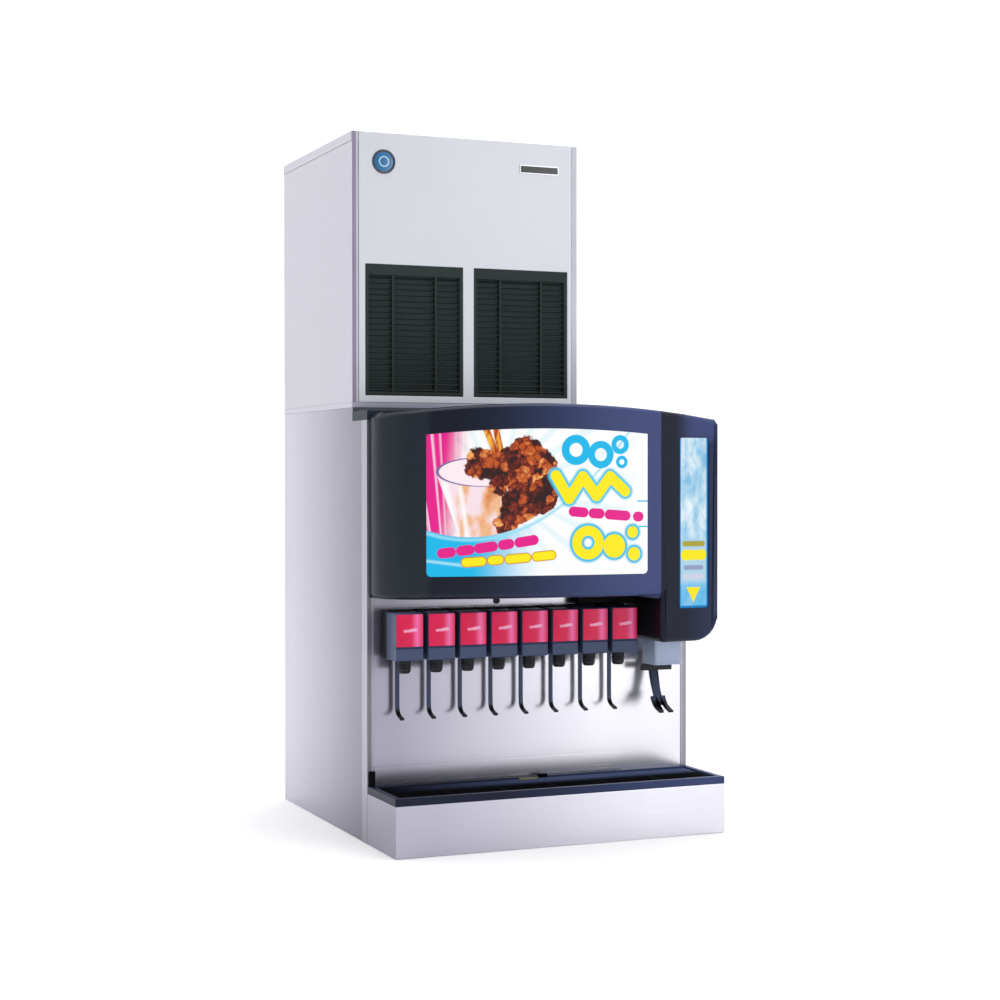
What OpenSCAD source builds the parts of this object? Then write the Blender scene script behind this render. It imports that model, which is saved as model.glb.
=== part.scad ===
/* [Dispenser cabinet] */
// Width of the dispenser
disp_w = 782; // [770:1:800]
// Depth of the cabinet behind the drip tray
disp_d = 630; // [620:1:640]
// Height of the cabinet up to the seat of the ice machine
disp_h = 950; // [945:1:955]
// Thickness of the sheet metal
sheet = 1.5; // [1:0.1:2]

/* [Ice machine] */
// Width of the ice machine
mach_w = 550; // [545:1:555]
// Depth of the ice machine
mach_d = 530; // [525:1:535]
// Height of the ice machine
mach_h = 612; // [605:1:620]
// Width of one air filter grille
grille_w = 232; // [225:1:234]
// Height of one air filter grille
grille_h = 291; // [280:1:300]
// Number of louvres in a grille
louvre_n = 20; // [16:1:22]

/* [Drip tray] */
// How far the drip tray stands out in front of the cabinet
tray_out = 182; // [175:1:190]
// Height of the stainless apron under the rim
apron_h = 110; // [105:1:115]
// Height of the black rim
rim_h = 16; // [14:1:18]

/* [Bonnet] */
// Wall of the moulded bonnet
bonnet_wall = 4; // [3:0.5:5]
// Radius of the bonnet's face in plan
face_r = 2000; // [1900:10:2100]
// Plan radius of the left corner
corner_l = 100; // [96:1:100]
// Plan radius of the right corner
corner_r = 16; // [14:1:20]
// Height of the top of the arch
arch_top = 956; // [952:1:960]
// Radius of the arch
arch_r = 2600; // [2500:10:2700]
// Bottom of the main face
bonnet_z = 534; // [530:1:540]
// Bottom of the ice housing
ice_z = 429; // [426:1:434]

/* [Valves] */
// Number of drink valves
valve_n = 8; // [8]
// Distance between valves
valve_pitch = 73; // [70:1:74]
// Width of a valve cover
valve_w = 62; // [60:1:64]
// Bottom of the valve covers
valve_z = 404; // [400:1:408]
// Height of a valve cover
valve_h = 102; // [98:1:104]
// Radius of a lever pin
pin_r = 2; // [1.5:0.5:2.5]

/* [Ice outlet] */
// Outer width of the square ice chute
chute_w = 66; // [60:1:70]
// Wall of the ice chute
chute_wall = 3; // [2.5:0.5:4]
// Radius of the ice lever pin
ice_pin_r = 3; // [2.5:0.5:3.5]

/* [Hidden] */

$fn = 48;
run_gap = 0.05;
cut = 1;

// The origin is the centre of the footprint at floor level
x_r = disp_w / 2;
x_l = -x_r;
y_back = (disp_d + tray_out) / 2;
y_tray = -y_back;
y_cab = y_back - disp_d;
y_mach = y_back - mach_d;
x_mach = x_l + mach_w;
z_top = disp_h + mach_h;

// Cabinet sheets: the corner trims stand a little proud of them
trim_t = 1;
side_x = x_r - trim_t;
flange = 14;
in_x = side_x - sheet;
rear_y = y_back - 32;
base_h = 40;
deck_z = disp_h - 6;
deck_t = 6;
cap_z = disp_h - 30;
cap_h = 22;
cap_y = y_mach - 1;
front_y = y_cab + sheet;
strip_z = 511;
lock_x = -87;
lock_z = 521;
lock_r = 5;

// Ice hopper, and the opening in its front wall
hop_x = 345;
hop_y0 = -180;
hop_y1 = 340;
hop_z = 560;
hop_wall = 25;
throat_x = 287;
throat_z = 670;
throat_w = chute_w - 2 * chute_wall;
fill_x0 = 185;
fill_x1 = 318;
fill_y0 = -60;
fill_y1 = 312;
drop_x = -110;
drop_y = 60;
drop_w = 110;

// Agitator wheel behind the hopper's front wall
agit_x = 170;
agit_z = 735;
agit_r = 140;
agit_shaft_r = 10;

// Bonnet outline in plan and in front view
bonnet_back = y_cab - 1.5;
face_cx = 199;
face_cy = y_tray + 14 + face_r;
left_x = x_l + 6;
cl_x = left_x + corner_l;
cl_y = face_cy - sqrt(pow(face_r - corner_l, 2) - pow(face_cx - cl_x, 2));
cr_x = x_r - corner_r;
cr_y = face_cy - sqrt(pow(face_r - corner_r, 2) - pow(cr_x - face_cx, 2));
a_l = 360 + atan2(cl_y - face_cy, cl_x - face_cx);
a_r = 360 + atan2(cr_y - face_cy, cr_x - face_cx);
arch_cx = -21;
arch_cz = arch_top - arch_r;
top_r = 16;
ice_x = 239;
ice_corner = 62;
win_x0 = -293;
win_x1 = 206;
win_z0 = 583;
win_drop = 55;
win_corner = 10;
ice_win_x0 = 286;
ice_win_x1 = 361;
ice_win_z0 = 504;
ice_win_z1 = 883;
graphic_t = 3;
light_gap = 8;
light_t = 8;
overlap = 6;

// Valves
valve_x0 = -329;
valve_depth = 62;
body_w = 48;
valve_front = -324;
block_y = -236;
label_t = 1.5;
nozzle_y = -289;
nozzle_r = 15;
nozzle_h = 29;
lever_y = -244;
lever_z = 413;
lever_w = 10;
lever_t = 3;
lever_eye = 6;
slot_w = 12;
slot_y = -252;
slot_top = 424;

// Ice chute and lever
chute_y = -299;
chute_z0 = 373;
chute_z1 = 703;
gate_y = -229.5;
gate_z = 694;
gate_t = 3;
ice_lever_y = -254;
ice_lever_z = 384;
ice_lever_w = 18;
ice_eye = 7;
ear_t = 4;

// Drip tray
tray_y = y_cab - 1;
rim_w = 14;
tray_top = apron_h + rim_h;
rest_z = 114;
rest_t = 8;
ledge = 6;
basin_wall = 3;
basin_z = 62;
pipe_x = -300;
pipe_z = 80;
pipe_r = 12;
pipe_bore = 9.5;
spigot_r = 13.35;
spigot_l = 27;

// Rear fittings
inlet_n = 9;
inlet_r = 4.8;
inlet_bore = 3;
inlet_x = 60;
inlet_pitch = 30;
inlet_z = 120;
gland_x = 340;
gland_z = 200;
gland_r = 11;

// Ice machine
base_lip = 12;
mach_z = disp_h + base_lip;
mach_in_l = x_l + trim_t;
mach_in_r = x_mach - trim_t;
lid_lip = 22;
mach_side_top = z_top - lid_lip;
mach_rear_y = y_back - 26;
front_x0 = mach_in_l + flange + 1;
front_x1 = mach_in_r - flange;
grille_x = [-359, -99.5];
grille_z = 978;
grille_frame = 8;
grille_top = 24;
grille_t = 12;
grille_gap = 0.5;
louvre_tilt = 35;
louvre_t = 1.6;
rib_w = 5;
badge_x = -316;
badge_z = 1497;
badge_r = 27;
plate_x = 13;
plate_w = 98;
plate_z = 1491;
plate_h = 20;

// Refrigeration and ice making parts
evap_x = -230;
evap_y = 60;
evap_r = 55;
evap_bore = 38;
evap_z0 = 1080;
evap_z1 = 1385;
head_z1 = 1437;
head_r = 48;
auger_r = 36;
auger_shaft_r = 12;
fan_x = 20;
fan_z = 1122;
fan_r = 100;
fan_shaft_r = 4;
cond_x0 = -95;
cond_x1 = 135;
cond_y0 = -98;
cond_y1 = -52;
spout_w = 84;

// ---- helpers ----

// Box between two corners
module box(x0, x1, y0, y1, z0, z1) {
    translate([x0, y0, z0]) cube([x1 - x0, y1 - y0, z1 - z0]);
}

// Round bar along X
module bar_x(x0, x1, y, z, r) {
    translate([x0, y, z]) rotate([0, 90, 0]) cylinder(r = r, h = x1 - x0);
}

// Round bar along Y
module bar_y(x, z, y0, y1, r) {
    translate([x, y1, z]) rotate([90, 0, 0]) cylinder(r = r, h = y1 - y0);
}

// Round bar along Z
module bar_z(x, y, z0, z1, r) {
    translate([x, y, z0]) cylinder(r = r, h = z1 - z0);
}

// Front-view outline (X, Z) run along Y
module along_y(y0, y1) {
    translate([0, y1, 0]) rotate([90, 0, 0]) linear_extrude(height = y1 - y0) children();
}

// Side-view outline (Y, Z) run along X
module along_x(x0, x1) {
    translate([x0, 0, 0]) rotate([90, 0, 90]) linear_extrude(height = x1 - x0) children();
}

// Points on an arc from angle a0 to a1, from step i0 to step i1 of n
function arc(cx, cy, r, a0, a1, n, i0, i1) =
    [for (i = [i0:i1]) [cx + r * cos(a0 + (a1 - a0) * i / n), cy + r * sin(a0 + (a1 - a0) * i / n)]];

// Height of the arch at x, lowered by drop
function arch_at(x, drop) = arch_cz + sqrt(pow(arch_r - drop, 2) - pow(x - arch_cx, 2));

// X position of valve i, counted from 0
function valve_x(i) = valve_x0 + i * valve_pitch;

// Direction of travel from point i of a line of points
function heading(points, i) = (points[i + 1] - points[i]) / norm(points[i + 1] - points[i]);

// Sideways step at point i that keeps a bent strip of thickness t even
function miter(points, i, t) =
    let (last = len(points) - 1, a = heading(points, max(i - 1, 0)), b = heading(points, min(i, last - 1)),
        na = [-a[1], a[0]], nb = [-b[1], b[0]])
    (na + nb) * (t / 2) / (1 + na * nb);

// Outline of a bent flat strip of thickness t along a list of (Y, Z) points
module strip(points, t) {
    last = len(points) - 1;
    polygon(concat([for (i = [0:last]) points[i] + miter(points, i, t)],
        [for (i = [last:-1:0]) points[i] - miter(points, i, t)]));
}

// ---- dispenser cabinet ----

// Foam filled base slab with threaded leg sockets
module cabinet_base() {
    leg_x = 350;
    leg_y0 = -180;
    leg_y1 = 330;
    color([0.32, 0.33, 0.35]) difference() {
        box(-in_x, in_x, front_y, rear_y, 0, base_h);
        for (x = [-leg_x, leg_x], y = [leg_y0, leg_y1]) bar_z(x, y, -cut, 25, 4.25);
    }
}

// Side sheet with front and rear return flanges, notched for the bonnet's top cap
module cabinet_side(side, top) {
    flip = side < 0 ? [1, 0, 0] : [0, 0, 0];
    mirror(flip) union() {
        difference() {
            box(in_x, side_x, y_cab, y_back, 0, top);
            box(in_x - cut, side_x + cut, y_cab - cut, cap_y, cap_z, top + cut);
        }
        box(side_x - flange, in_x, y_cab, y_cab + sheet, 0, cap_z);
        box(side_x - flange, in_x, y_back - sheet, y_back, 0, top);
    }
}

module cabinet_side_left() {
    color([0.82, 0.82, 0.86]) cabinet_side(-1, disp_h);
}

module cabinet_side_right() {
    color([0.82, 0.82, 0.86]) cabinet_side(1, deck_z);
}

// Rear sheet, set in so that the fittings stay inside the cabinet's depth
module cabinet_rear() {
    color([0.72, 0.73, 0.75]) difference() {
        box(-in_x, in_x, rear_y - sheet, rear_y, base_h, deck_z - deck_t);
        bar_y(pipe_x, pipe_z, rear_y - 10, rear_y + 10, pipe_r + 0.25);
        for (i = [0:inlet_n - 1]) {
            bar_y(inlet_x + i * inlet_pitch, inlet_z, rear_y - 10, rear_y + 10, inlet_r + 0.2);
        }
        bar_y(gland_x, gland_z, rear_y - 10, rear_y + 10, gland_r - 3);
    }
}

// Stainless front sheet behind the bonnet; its lower edge shows above the valves
module cabinet_front() {
    throat_gap = 1;
    half = chute_w / 2 + throat_gap;
    color([0.83, 0.84, 0.87]) difference() {
        box(-side_x + flange, side_x - flange, front_y - sheet, front_y, strip_z, cap_z + 16);
        box(throat_x - half, throat_x + half, front_y - 10, front_y + 10, throat_z - half, throat_z + half);
        bar_y(lock_x, lock_z, front_y - 10, front_y + 10, lock_r + run_gap);
    }
}

// Top deck with the raised seat for the ice machine
module cabinet_deck() {
    color([0.30, 0.32, 0.34]) difference() {
        union() {
            box(-in_x, in_x, cap_y, rear_y, deck_z - deck_t, deck_z);
            box(-in_x, x_mach - 1, y_mach, rear_y, deck_z, disp_h);
        }
        box(fill_x0, fill_x1, fill_y0, fill_y1, deck_z - 2 * deck_t, deck_z + cut);
        box(drop_x - drop_w / 2, drop_x + drop_w / 2, drop_y - drop_w / 2, drop_y + drop_w / 2,
            deck_z - 2 * deck_t, disp_h + cut);
    }
}

// Lift-off hopper lid with a locating rim and a finger recess
module hopper_lid() {
    lid_over = 10;
    fit_gap = 1;
    rim = 3;
    recess_x = (fill_x0 + fill_x1) / 2;
    color([0.16, 0.18, 0.22]) difference() {
        union() {
            box(fill_x0 - lid_over, fill_x1 + lid_over, fill_y0 - lid_over, fill_y1 + lid_over,
                deck_z, disp_h);
            difference() {
                box(fill_x0 + fit_gap, fill_x1 - fit_gap, fill_y0 + fit_gap, fill_y1 - fit_gap,
                    deck_z - 2, deck_z);
                box(fill_x0 + fit_gap + rim, fill_x1 - fit_gap - rim, fill_y0 + fit_gap + rim,
                    fill_y1 - fit_gap - rim, deck_z - 3, deck_z);
            }
        }
        box(recess_x - 40, recess_x + 40, fill_y0 + 20, fill_y0 + 48, disp_h - 3, disp_h + cut);
    }
}

// Insulated ice bin, open at the top, with the outlet in its front wall
module ice_hopper() {
    half = throat_w / 2;
    color([0.86, 0.88, 0.90]) difference() {
        box(-hop_x, hop_x, hop_y0, hop_y1, hop_z, deck_z - deck_t);
        box(-hop_x + hop_wall, hop_x - hop_wall, hop_y0 + hop_wall, hop_y1 - hop_wall,
            hop_z + hop_wall, disp_h);
        box(throat_x - half, throat_x + half, hop_y0 - cut, hop_y0 + hop_wall + cut,
            throat_z - half, throat_z + half);
        bar_y(agit_x, agit_z, hop_y0 - cut, hop_y0 + hop_wall + cut, agit_shaft_r + run_gap);
    }
}

// Cast aluminium cold plate on the hopper floor
module cold_plate() {
    rib_n = 9;
    rib_pitch = 60;
    z0 = hop_z + hop_wall;
    color([0.70, 0.71, 0.72]) difference() {
        box(-300, 300, -115, 300, z0, z0 + 40);
        for (i = [0:rib_n - 1]) {
            x = (i - (rib_n - 1) / 2) * rib_pitch;
            box(x - 4, x + 4, -115 - cut, 301, z0 + 35, z0 + 41);
        }
    }
}

// Agitator: shaft, hub, six paddles and a rim
module agitator() {
    wheel_y0 = hop_y0 + hop_wall + 4;
    wheel_t = 22;
    color([0.88, 0.88, 0.84]) union() {
        bar_y(agit_x, agit_z, hop_y0 - 18, wheel_y0 + wheel_t, agit_shaft_r);
        bar_y(agit_x, agit_z, wheel_y0, wheel_y0 + wheel_t, 24);
        for (a = [0:60:300]) {
            translate([agit_x, 0, agit_z]) rotate([0, a, 0])
                box(15, agit_r - 3, wheel_y0, wheel_y0 + wheel_t, -5, 5);
        }
        difference() {
            bar_y(agit_x, agit_z, wheel_y0 + 14, wheel_y0 + wheel_t, agit_r);
            bar_y(agit_x, agit_z, wheel_y0, wheel_y0 + wheel_t + cut, agit_r - 10);
        }
    }
}

// Flat gear motor between the hopper and the front sheet
module agitator_motor() {
    color([0.20, 0.21, 0.23]) difference() {
        union() {
            box(agit_x - 48, agit_x + 48, front_y + 1, hop_y0, agit_z - 45, agit_z + 45);
            bar_x(agit_x - 160, agit_x - 48, (front_y + hop_y0) / 2, agit_z, 19);
        }
        bar_y(agit_x, agit_z, hop_y0 - 20, hop_y0 + cut, agit_shaft_r + run_gap);
    }
}

// ---- bonnet ----

// Plan outline, set in from the outer surface
function bonnet_plan(inset) = concat(
    arc(cl_x, cl_y, corner_l - inset, 180, a_l, 8, 0, 8),
    arc(face_cx, face_cy, face_r - inset, a_l, a_r, 24, 1, 23),
    arc(cr_x, cr_y, corner_r - inset, a_r, 360, 6, 0, 6),
    [[x_r - inset, bonnet_back], [left_x + inset, bonnet_back]]);

// Front outline, set in from the outer surface: an arched top and a deeper ice housing on the right
function bonnet_front(inset) = concat(
    [[left_x + inset, bonnet_z + inset], [ice_x + inset, bonnet_z + inset],
        [ice_x + inset, ice_z + inset]],
    arc(x_r - ice_corner, ice_z + ice_corner, ice_corner - inset, 270, 360, 8, 0, 8),
    arc(x_r - top_r, arch_at(x_r, 0) - top_r, top_r - inset, 0, 80, 4, 0, 4),
    [for (x = [x_r - 40:-30:left_x + 40]) [x, arch_at(x, inset)]],
    arc(left_x + top_r, arch_at(left_x, 0) - top_r, top_r - inset, 100, 180, 4, 0, 4));

// Solid bonnet shape, set in from the outer surface
module bonnet_solid(inset, back) {
    intersection() {
        linear_extrude(height = z_top) polygon(bonnet_plan(inset));
        along_y(y_tray, back) polygon(bonnet_front(inset));
    }
}

// Outline of the main window under the arch
module main_window() {
    polygon(concat(
        arc(win_x0 + win_corner, win_z0 + win_corner, win_corner, 180, 270, 4, 0, 4),
        arc(win_x1 - win_corner, win_z0 + win_corner, win_corner, 270, 360, 4, 0, 4),
        [for (x = [win_x1:-(win_x1 - win_x0) / 16:win_x0]) [x, arch_at(x, win_drop)]]));
}

// Cap that runs back over the cabinet to the ice machine
module top_cap() {
    difference() {
        box(-x_r + 0.5, x_r - 0.5, bonnet_back - 2, cap_y, cap_z, cap_z + cap_h);
        box(-x_r + bonnet_wall, x_r - bonnet_wall, bonnet_back - 4, cap_y + cut,
            cap_z - cut, cap_z + cap_h - bonnet_wall);
    }
}

// Moulded bonnet shell with the main window, the ice window and the chute opening
module bonnet() {
    half = chute_w / 2 + 2;
    color([0.13, 0.16, 0.22]) union() {
        difference() {
            bonnet_solid(0, bonnet_back);
            bonnet_solid(bonnet_wall, bonnet_back + cut);
            along_y(y_tray, y_tray + 120) main_window();
            box(ice_win_x0, ice_win_x1, y_tray, y_tray + 60, ice_win_z0, ice_win_z1);
            box(throat_x - half, throat_x + half, chute_y - half, chute_y + half, ice_z - cut, ice_z + 10);
        }
        top_cap();
    }
}

// Panel that follows the inside of the face, from depth d0 to d1 behind the outer surface
module face_panel(x0, x1, z0, z1, d0, d1) {
    n = 12;
    outer = [for (i = [0:n]) let (x = x0 + (x1 - x0) * i / n)
        [x, face_cy - sqrt(pow(face_r - d0, 2) - pow(x - face_cx, 2))]];
    inner = [for (i = [n:-1:0]) let (x = x0 + (x1 - x0) * i / n)
        [x, face_cy - sqrt(pow(face_r - d1, 2) - pow(x - face_cx, 2))]];
    translate([0, 0, z0]) linear_extrude(height = z1 - z0) polygon(concat(outer, inner));
}

module main_graphic() {
    d0 = bonnet_wall + 0.2;
    color([0.93, 0.78, 0.88]) face_panel(win_x0 - overlap, win_x1 + overlap, win_z0 - overlap,
        arch_top - win_drop + 2, d0, d0 + graphic_t);
}

module ice_graphic() {
    d0 = bonnet_wall + 0.2;
    color([0.55, 0.80, 0.92]) face_panel(ice_win_x0 - 3, ice_win_x1 + 2, ice_win_z0 - overlap,
        ice_win_z1 + overlap, d0, d0 + graphic_t);
}

// LED panels behind the two graphics
module light_panels() {
    d0 = bonnet_wall + graphic_t + light_gap;
    color([0.95, 0.95, 0.92]) {
        face_panel(win_x0 - overlap, win_x1 + overlap, win_z0 - overlap, arch_top - win_drop + 2,
            d0, d0 + light_t);
        face_panel(ice_win_x0 - 3, ice_win_x1 + 2, ice_win_z0 - overlap, ice_win_z1 + overlap,
            d0, d0 + light_t);
    }
}

// ---- splash plate and trims ----

// Stainless splash plate with a raised lower band that stops short of the ice side
module splash_plate() {
    band_x1 = 222;
    band_z0 = tray_top + 1;
    band_z1 = 167;
    color([0.78, 0.80, 0.84]) difference() {
        union() {
            box(-side_x + flange, side_x - flange, y_cab, front_y, base_h, strip_z);
            box(-side_x + flange, band_x1, y_cab - 2, y_cab, band_z0, band_z1);
        }
        bar_y(pipe_x, pipe_z, y_cab - 5, y_cab + 5, pipe_r + 0.25);
    }
}

// Angle trims on the cabinet's two front corners
module corner_trims() {
    side_leg = 36;
    color([0.90, 0.91, 0.94]) for (m = [0, 1]) mirror([m, 0, 0]) {
        box(side_x, x_r, y_cab - trim_t, y_cab + side_leg, 0, cap_z);
        box(side_x - flange, x_r, y_cab - trim_t, y_cab, 0, cap_z);
    }
}

// Quarter-turn lock that holds the front sheet
module key_lock() {
    color([0.25, 0.25, 0.27]) difference() {
        union() {
            bar_y(lock_x, lock_z, y_cab - 2, front_y + 12, lock_r);
            bar_y(lock_x, lock_z, y_cab - 4, y_cab - 0.5, lock_r + 2);
            box(lock_x - lock_r, lock_x + 3 * lock_r, front_y + 8, front_y + 11,
                lock_z - lock_r + 1, lock_z + lock_r - 1);
        }
        box(lock_x - 0.8, lock_x + 0.8, y_cab - 5, y_cab - 2, lock_z - 4, lock_z + 4);
    }
}

// ---- drink valves ----

// One valve: a moulded cover in front of a narrower body with the lever slot
module valve_housing(x) {
    nose_r = 8;
    difference() {
        union() {
            along_x(x - valve_w / 2, x + valve_w / 2) union() {
                translate([valve_front, valve_z]) square([valve_depth, valve_h - nose_r]);
                translate([valve_front + nose_r, valve_z]) square([valve_depth - nose_r, valve_h]);
                translate([valve_front + nose_r, valve_z + valve_h - nose_r]) circle(r = nose_r);
            }
            box(x - body_w / 2, x + body_w / 2, valve_front + valve_depth, block_y,
                valve_z, valve_z + valve_h - 6);
        }
        box(x - slot_w / 2, x + slot_w / 2, slot_y, block_y + cut, valve_z - cut, slot_top);
        bar_x(x - body_w / 2 - cut, x + body_w / 2 + cut, lever_y, lever_z, pin_r);
    }
}

module valve_housings() {
    color([0.20, 0.24, 0.30]) for (i = [0:valve_n - 1]) valve_housing(valve_x(i));
}

// Flavour cards on the valve covers
module valve_labels() {
    card_w = valve_w - 2;
    card_z = valve_z + 30;
    card_h = valve_h - 30 - 2;
    color([0.86, 0.12, 0.35]) for (i = [0:valve_n - 1]) {
        box(valve_x(i) - card_w / 2, valve_x(i) + card_w / 2, valve_front - label_t, valve_front,
            card_z, card_z + card_h);
    }
}

// Blocks that carry the valves on the splash plate
module mounting_blocks() {
    color([0.10, 0.11, 0.13]) for (i = [0:valve_n - 1]) {
        box(valve_x(i) - 20, valve_x(i) + 20, block_y, y_cab, valve_z + 16, valve_z + 91);
    }
}

// Drink nozzles, tapered at the mouth, with a shallow diffuser recess
module nozzles() {
    taper = 8;
    color([0.06, 0.06, 0.07]) for (i = [0:valve_n - 1]) translate([valve_x(i), nozzle_y, 0])
        difference() {
            union() {
                translate([0, 0, valve_z - nozzle_h])
                    cylinder(r1 = nozzle_r - 4, r2 = nozzle_r, h = taper);
                translate([0, 0, valve_z - nozzle_h + taper])
                    cylinder(r = nozzle_r, h = nozzle_h - taper);
            }
            translate([0, 0, valve_z - nozzle_h - cut]) cylinder(r = nozzle_r - 7, h = 4);
        }
}

// Hinge pins of the eight drink levers and of the ice lever
module lever_pins() {
    color([0.75, 0.75, 0.76]) {
        for (i = [0:valve_n - 1]) {
            bar_x(valve_x(i) - body_w / 2, valve_x(i) + body_w / 2, lever_y, lever_z, pin_r);
        }
        bar_x(throat_x - ice_lever_w / 2 - 1 - ear_t, throat_x + ice_lever_w / 2 + 1 + ear_t,
            ice_lever_y, ice_lever_z, ice_pin_r);
    }
}

// Drink lever: a thin strip that hangs from its pin and hooks forward at the foot
module lever(i) {
    foot = [[lever_y, lever_z], [lever_y, 296], [lever_y - 3, 287], [lever_y - 11, 280],
        [lever_y - 33, 274]];
    color([0.14, 0.18, 0.26]) difference() {
        along_x(valve_x(i) - lever_w / 2, valve_x(i) + lever_w / 2) union() {
            translate([lever_y, lever_z]) circle(r = lever_eye);
            strip(foot, lever_t);
        }
        bar_x(valve_x(i) - lever_w, valve_x(i) + lever_w, lever_y, lever_z, pin_r + run_gap);
    }
}

// ---- ice outlet ----

// Square chute from the hopper's outlet down to the ice lever, with ears for the lever pin
module ice_chute() {
    half = chute_w / 2;
    bore = throat_w / 2;
    ear_x = ice_lever_w / 2 + 1;
    color([0.62, 0.68, 0.78]) difference() {
        union() {
            box(throat_x - half, throat_x + half, chute_y - half, chute_y + half, chute_z0, chute_z1);
            box(throat_x - half, throat_x + half, chute_y, hop_y0, throat_z - half, throat_z + half);
            for (m = [-1, 1]) {
                translate([throat_x + m * (ear_x + ear_t / 2), 0, 0])
                    box(-ear_t / 2, ear_t / 2, chute_y + half - 1, ice_lever_y + 6,
                        ice_lever_z - 7, ice_lever_z + 12);
            }
        }
        box(throat_x - bore, throat_x + bore, chute_y - bore, chute_y + bore,
            chute_z0 - cut, throat_z + bore);
        box(throat_x - bore, throat_x + bore, chute_y, hop_y0 + cut, throat_z - bore, throat_z + bore);
        bar_x(throat_x - half - cut, throat_x + half + cut, gate_y, gate_z, pin_r + run_gap);
        bar_x(throat_x - ear_x - 2 * ear_t, throat_x + ear_x + 2 * ear_t, ice_lever_y, ice_lever_z,
            ice_pin_r);
    }
}

// Flap that closes the hopper's outlet, hinged along its top edge
module ice_gate() {
    half = throat_w / 2 - 1.5;
    color([0.85, 0.86, 0.88]) union() {
        box(throat_x - half, throat_x + half, gate_y - gate_t / 2, gate_y + gate_t / 2,
            throat_z - throat_w / 2 + 2, gate_z);
        bar_x(throat_x - chute_w / 2 + 0.5, throat_x + chute_w / 2 - 0.5, gate_y, gate_z, pin_r);
    }
}

// Ice lever: a wider paddle with a forked foot
module ice_lever() {
    shank = [[ice_lever_y, ice_lever_z], [ice_lever_y - 3, 345], [-284, 290]];
    foot = [[-284, 290], [-296, 276], [-324, 266]];
    fork_w = 20;
    color([0.13, 0.17, 0.25]) difference() {
        union() {
            along_x(throat_x - ice_lever_w / 2, throat_x + ice_lever_w / 2) union() {
                translate([ice_lever_y, ice_lever_z]) circle(r = ice_eye);
                strip(shank, 5);
            }
            along_x(throat_x - fork_w, throat_x + fork_w) strip(foot, 5);
        }
        bar_x(throat_x - fork_w, throat_x + fork_w, ice_lever_y, ice_lever_z, ice_pin_r + run_gap);
        box(throat_x - 9, throat_x + 9, -340, -300, 250, 290);
    }
}

// ---- drip tray ----

// Stainless apron box that carries the basin
module drip_tray() {
    color([0.80, 0.82, 0.86]) difference() {
        box(x_l, x_r, y_tray, tray_y, 0, apron_h);
        box(x_l + 2, x_r - 2, y_tray + 2, tray_y - 2, 2, apron_h + cut);
        bar_y(pipe_x, pipe_z, tray_y - 10, tray_y + 10, pipe_r + 0.25);
    }
}

// Black basin with a wide rim and a ledge for the cup rest
module tray_basin() {
    ix = x_r - rim_w;
    y0 = y_tray + rim_w;
    y1 = tray_y - rim_w;
    color([0.08, 0.10, 0.15]) difference() {
        union() {
            box(x_l, x_r, y_tray, tray_y, apron_h, tray_top);
            box(-ix - basin_wall, ix + basin_wall, y0 - basin_wall, y1 + basin_wall, basin_z, apron_h);
        }
        box(-ix, ix, y0, y1, rest_z, tray_top + cut);
        box(-ix + ledge, ix - ledge, y0 + ledge, y1 - ledge, basin_z + basin_wall, rest_z + cut);
        bar_y(pipe_x, pipe_z, y1 - ledge - cut, y1 + 10, pipe_r);
    }
}

// Slotted cup rest with a lifting tab at the back
module cup_rest() {
    gap = 1;
    x1 = x_r - rim_w - gap;
    y0 = y_tray + rim_w + gap;
    y1 = tray_y - rim_w - gap;
    bay_n = 6;
    slot_n = 11;
    edge = 8;
    bay = (2 * x1 - edge) / bay_n;
    pitch = (y1 - y0 - edge) / slot_n;
    slot = pitch - 4.5;
    color([0.07, 0.08, 0.10]) union() {
        difference() {
            box(-x1, x1, y0, y1, rest_z, rest_z + rest_t);
            for (b = [0:bay_n - 1], s = [0:slot_n - 1]) {
                translate([-x1 + edge + b * bay, y0 + edge + s * pitch, rest_z - cut])
                    cube([bay - edge, slot, rest_t + 2 * cut]);
            }
        }
        box(6, 24, y1 - 14, y1, rest_z + rest_t, rest_z + rest_t + 10);
    }
}

// Drain pipe from the basin back through the cabinet
module drain_pipe() {
    color([0.90, 0.90, 0.88]) difference() {
        union() {
            bar_y(pipe_x, pipe_z, tray_y - rim_w - ledge, rear_y + 3, pipe_r);
            bar_y(pipe_x, pipe_z, rear_y + 2, rear_y + 2 + spigot_l, spigot_r);
        }
        bar_y(pipe_x, pipe_z, tray_y - 40, y_back, pipe_bore);
    }
}

// Hose stubs for eight syrups and soda water
module service_inlets() {
    color([0.75, 0.76, 0.78]) for (i = [0:inlet_n - 1]) {
        x = inlet_x + i * inlet_pitch;
        difference() {
            union() {
                bar_y(x, inlet_z, rear_y - 20, y_back - 4, inlet_r);
                bar_y(x, inlet_z, rear_y, rear_y + 3, inlet_r + 4);
            }
            bar_y(x, inlet_z, rear_y - 21, y_back, inlet_bore);
        }
    }
}

// Power inlet glands on the backs of the two units
module power_glands() {
    color([0.08, 0.08, 0.09]) {
        bar_y(gland_x, gland_z, rear_y, rear_y + 14, gland_r);
        bar_y(120, 1010, mach_rear_y, mach_rear_y + 14, gland_r);
    }
}

// ---- ice machine casing ----

// Base plate of the ice machine, with the ice drop opening
module machine_base() {
    hole = drop_w / 2 - 5;
    color([0.52, 0.54, 0.58]) difference() {
        box(x_l, x_mach, y_mach, y_back, disp_h, mach_z);
        box(drop_x - hole, drop_x + hole, drop_y - hole, drop_y + hole, disp_h - cut, mach_z + cut);
    }
}

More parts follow.
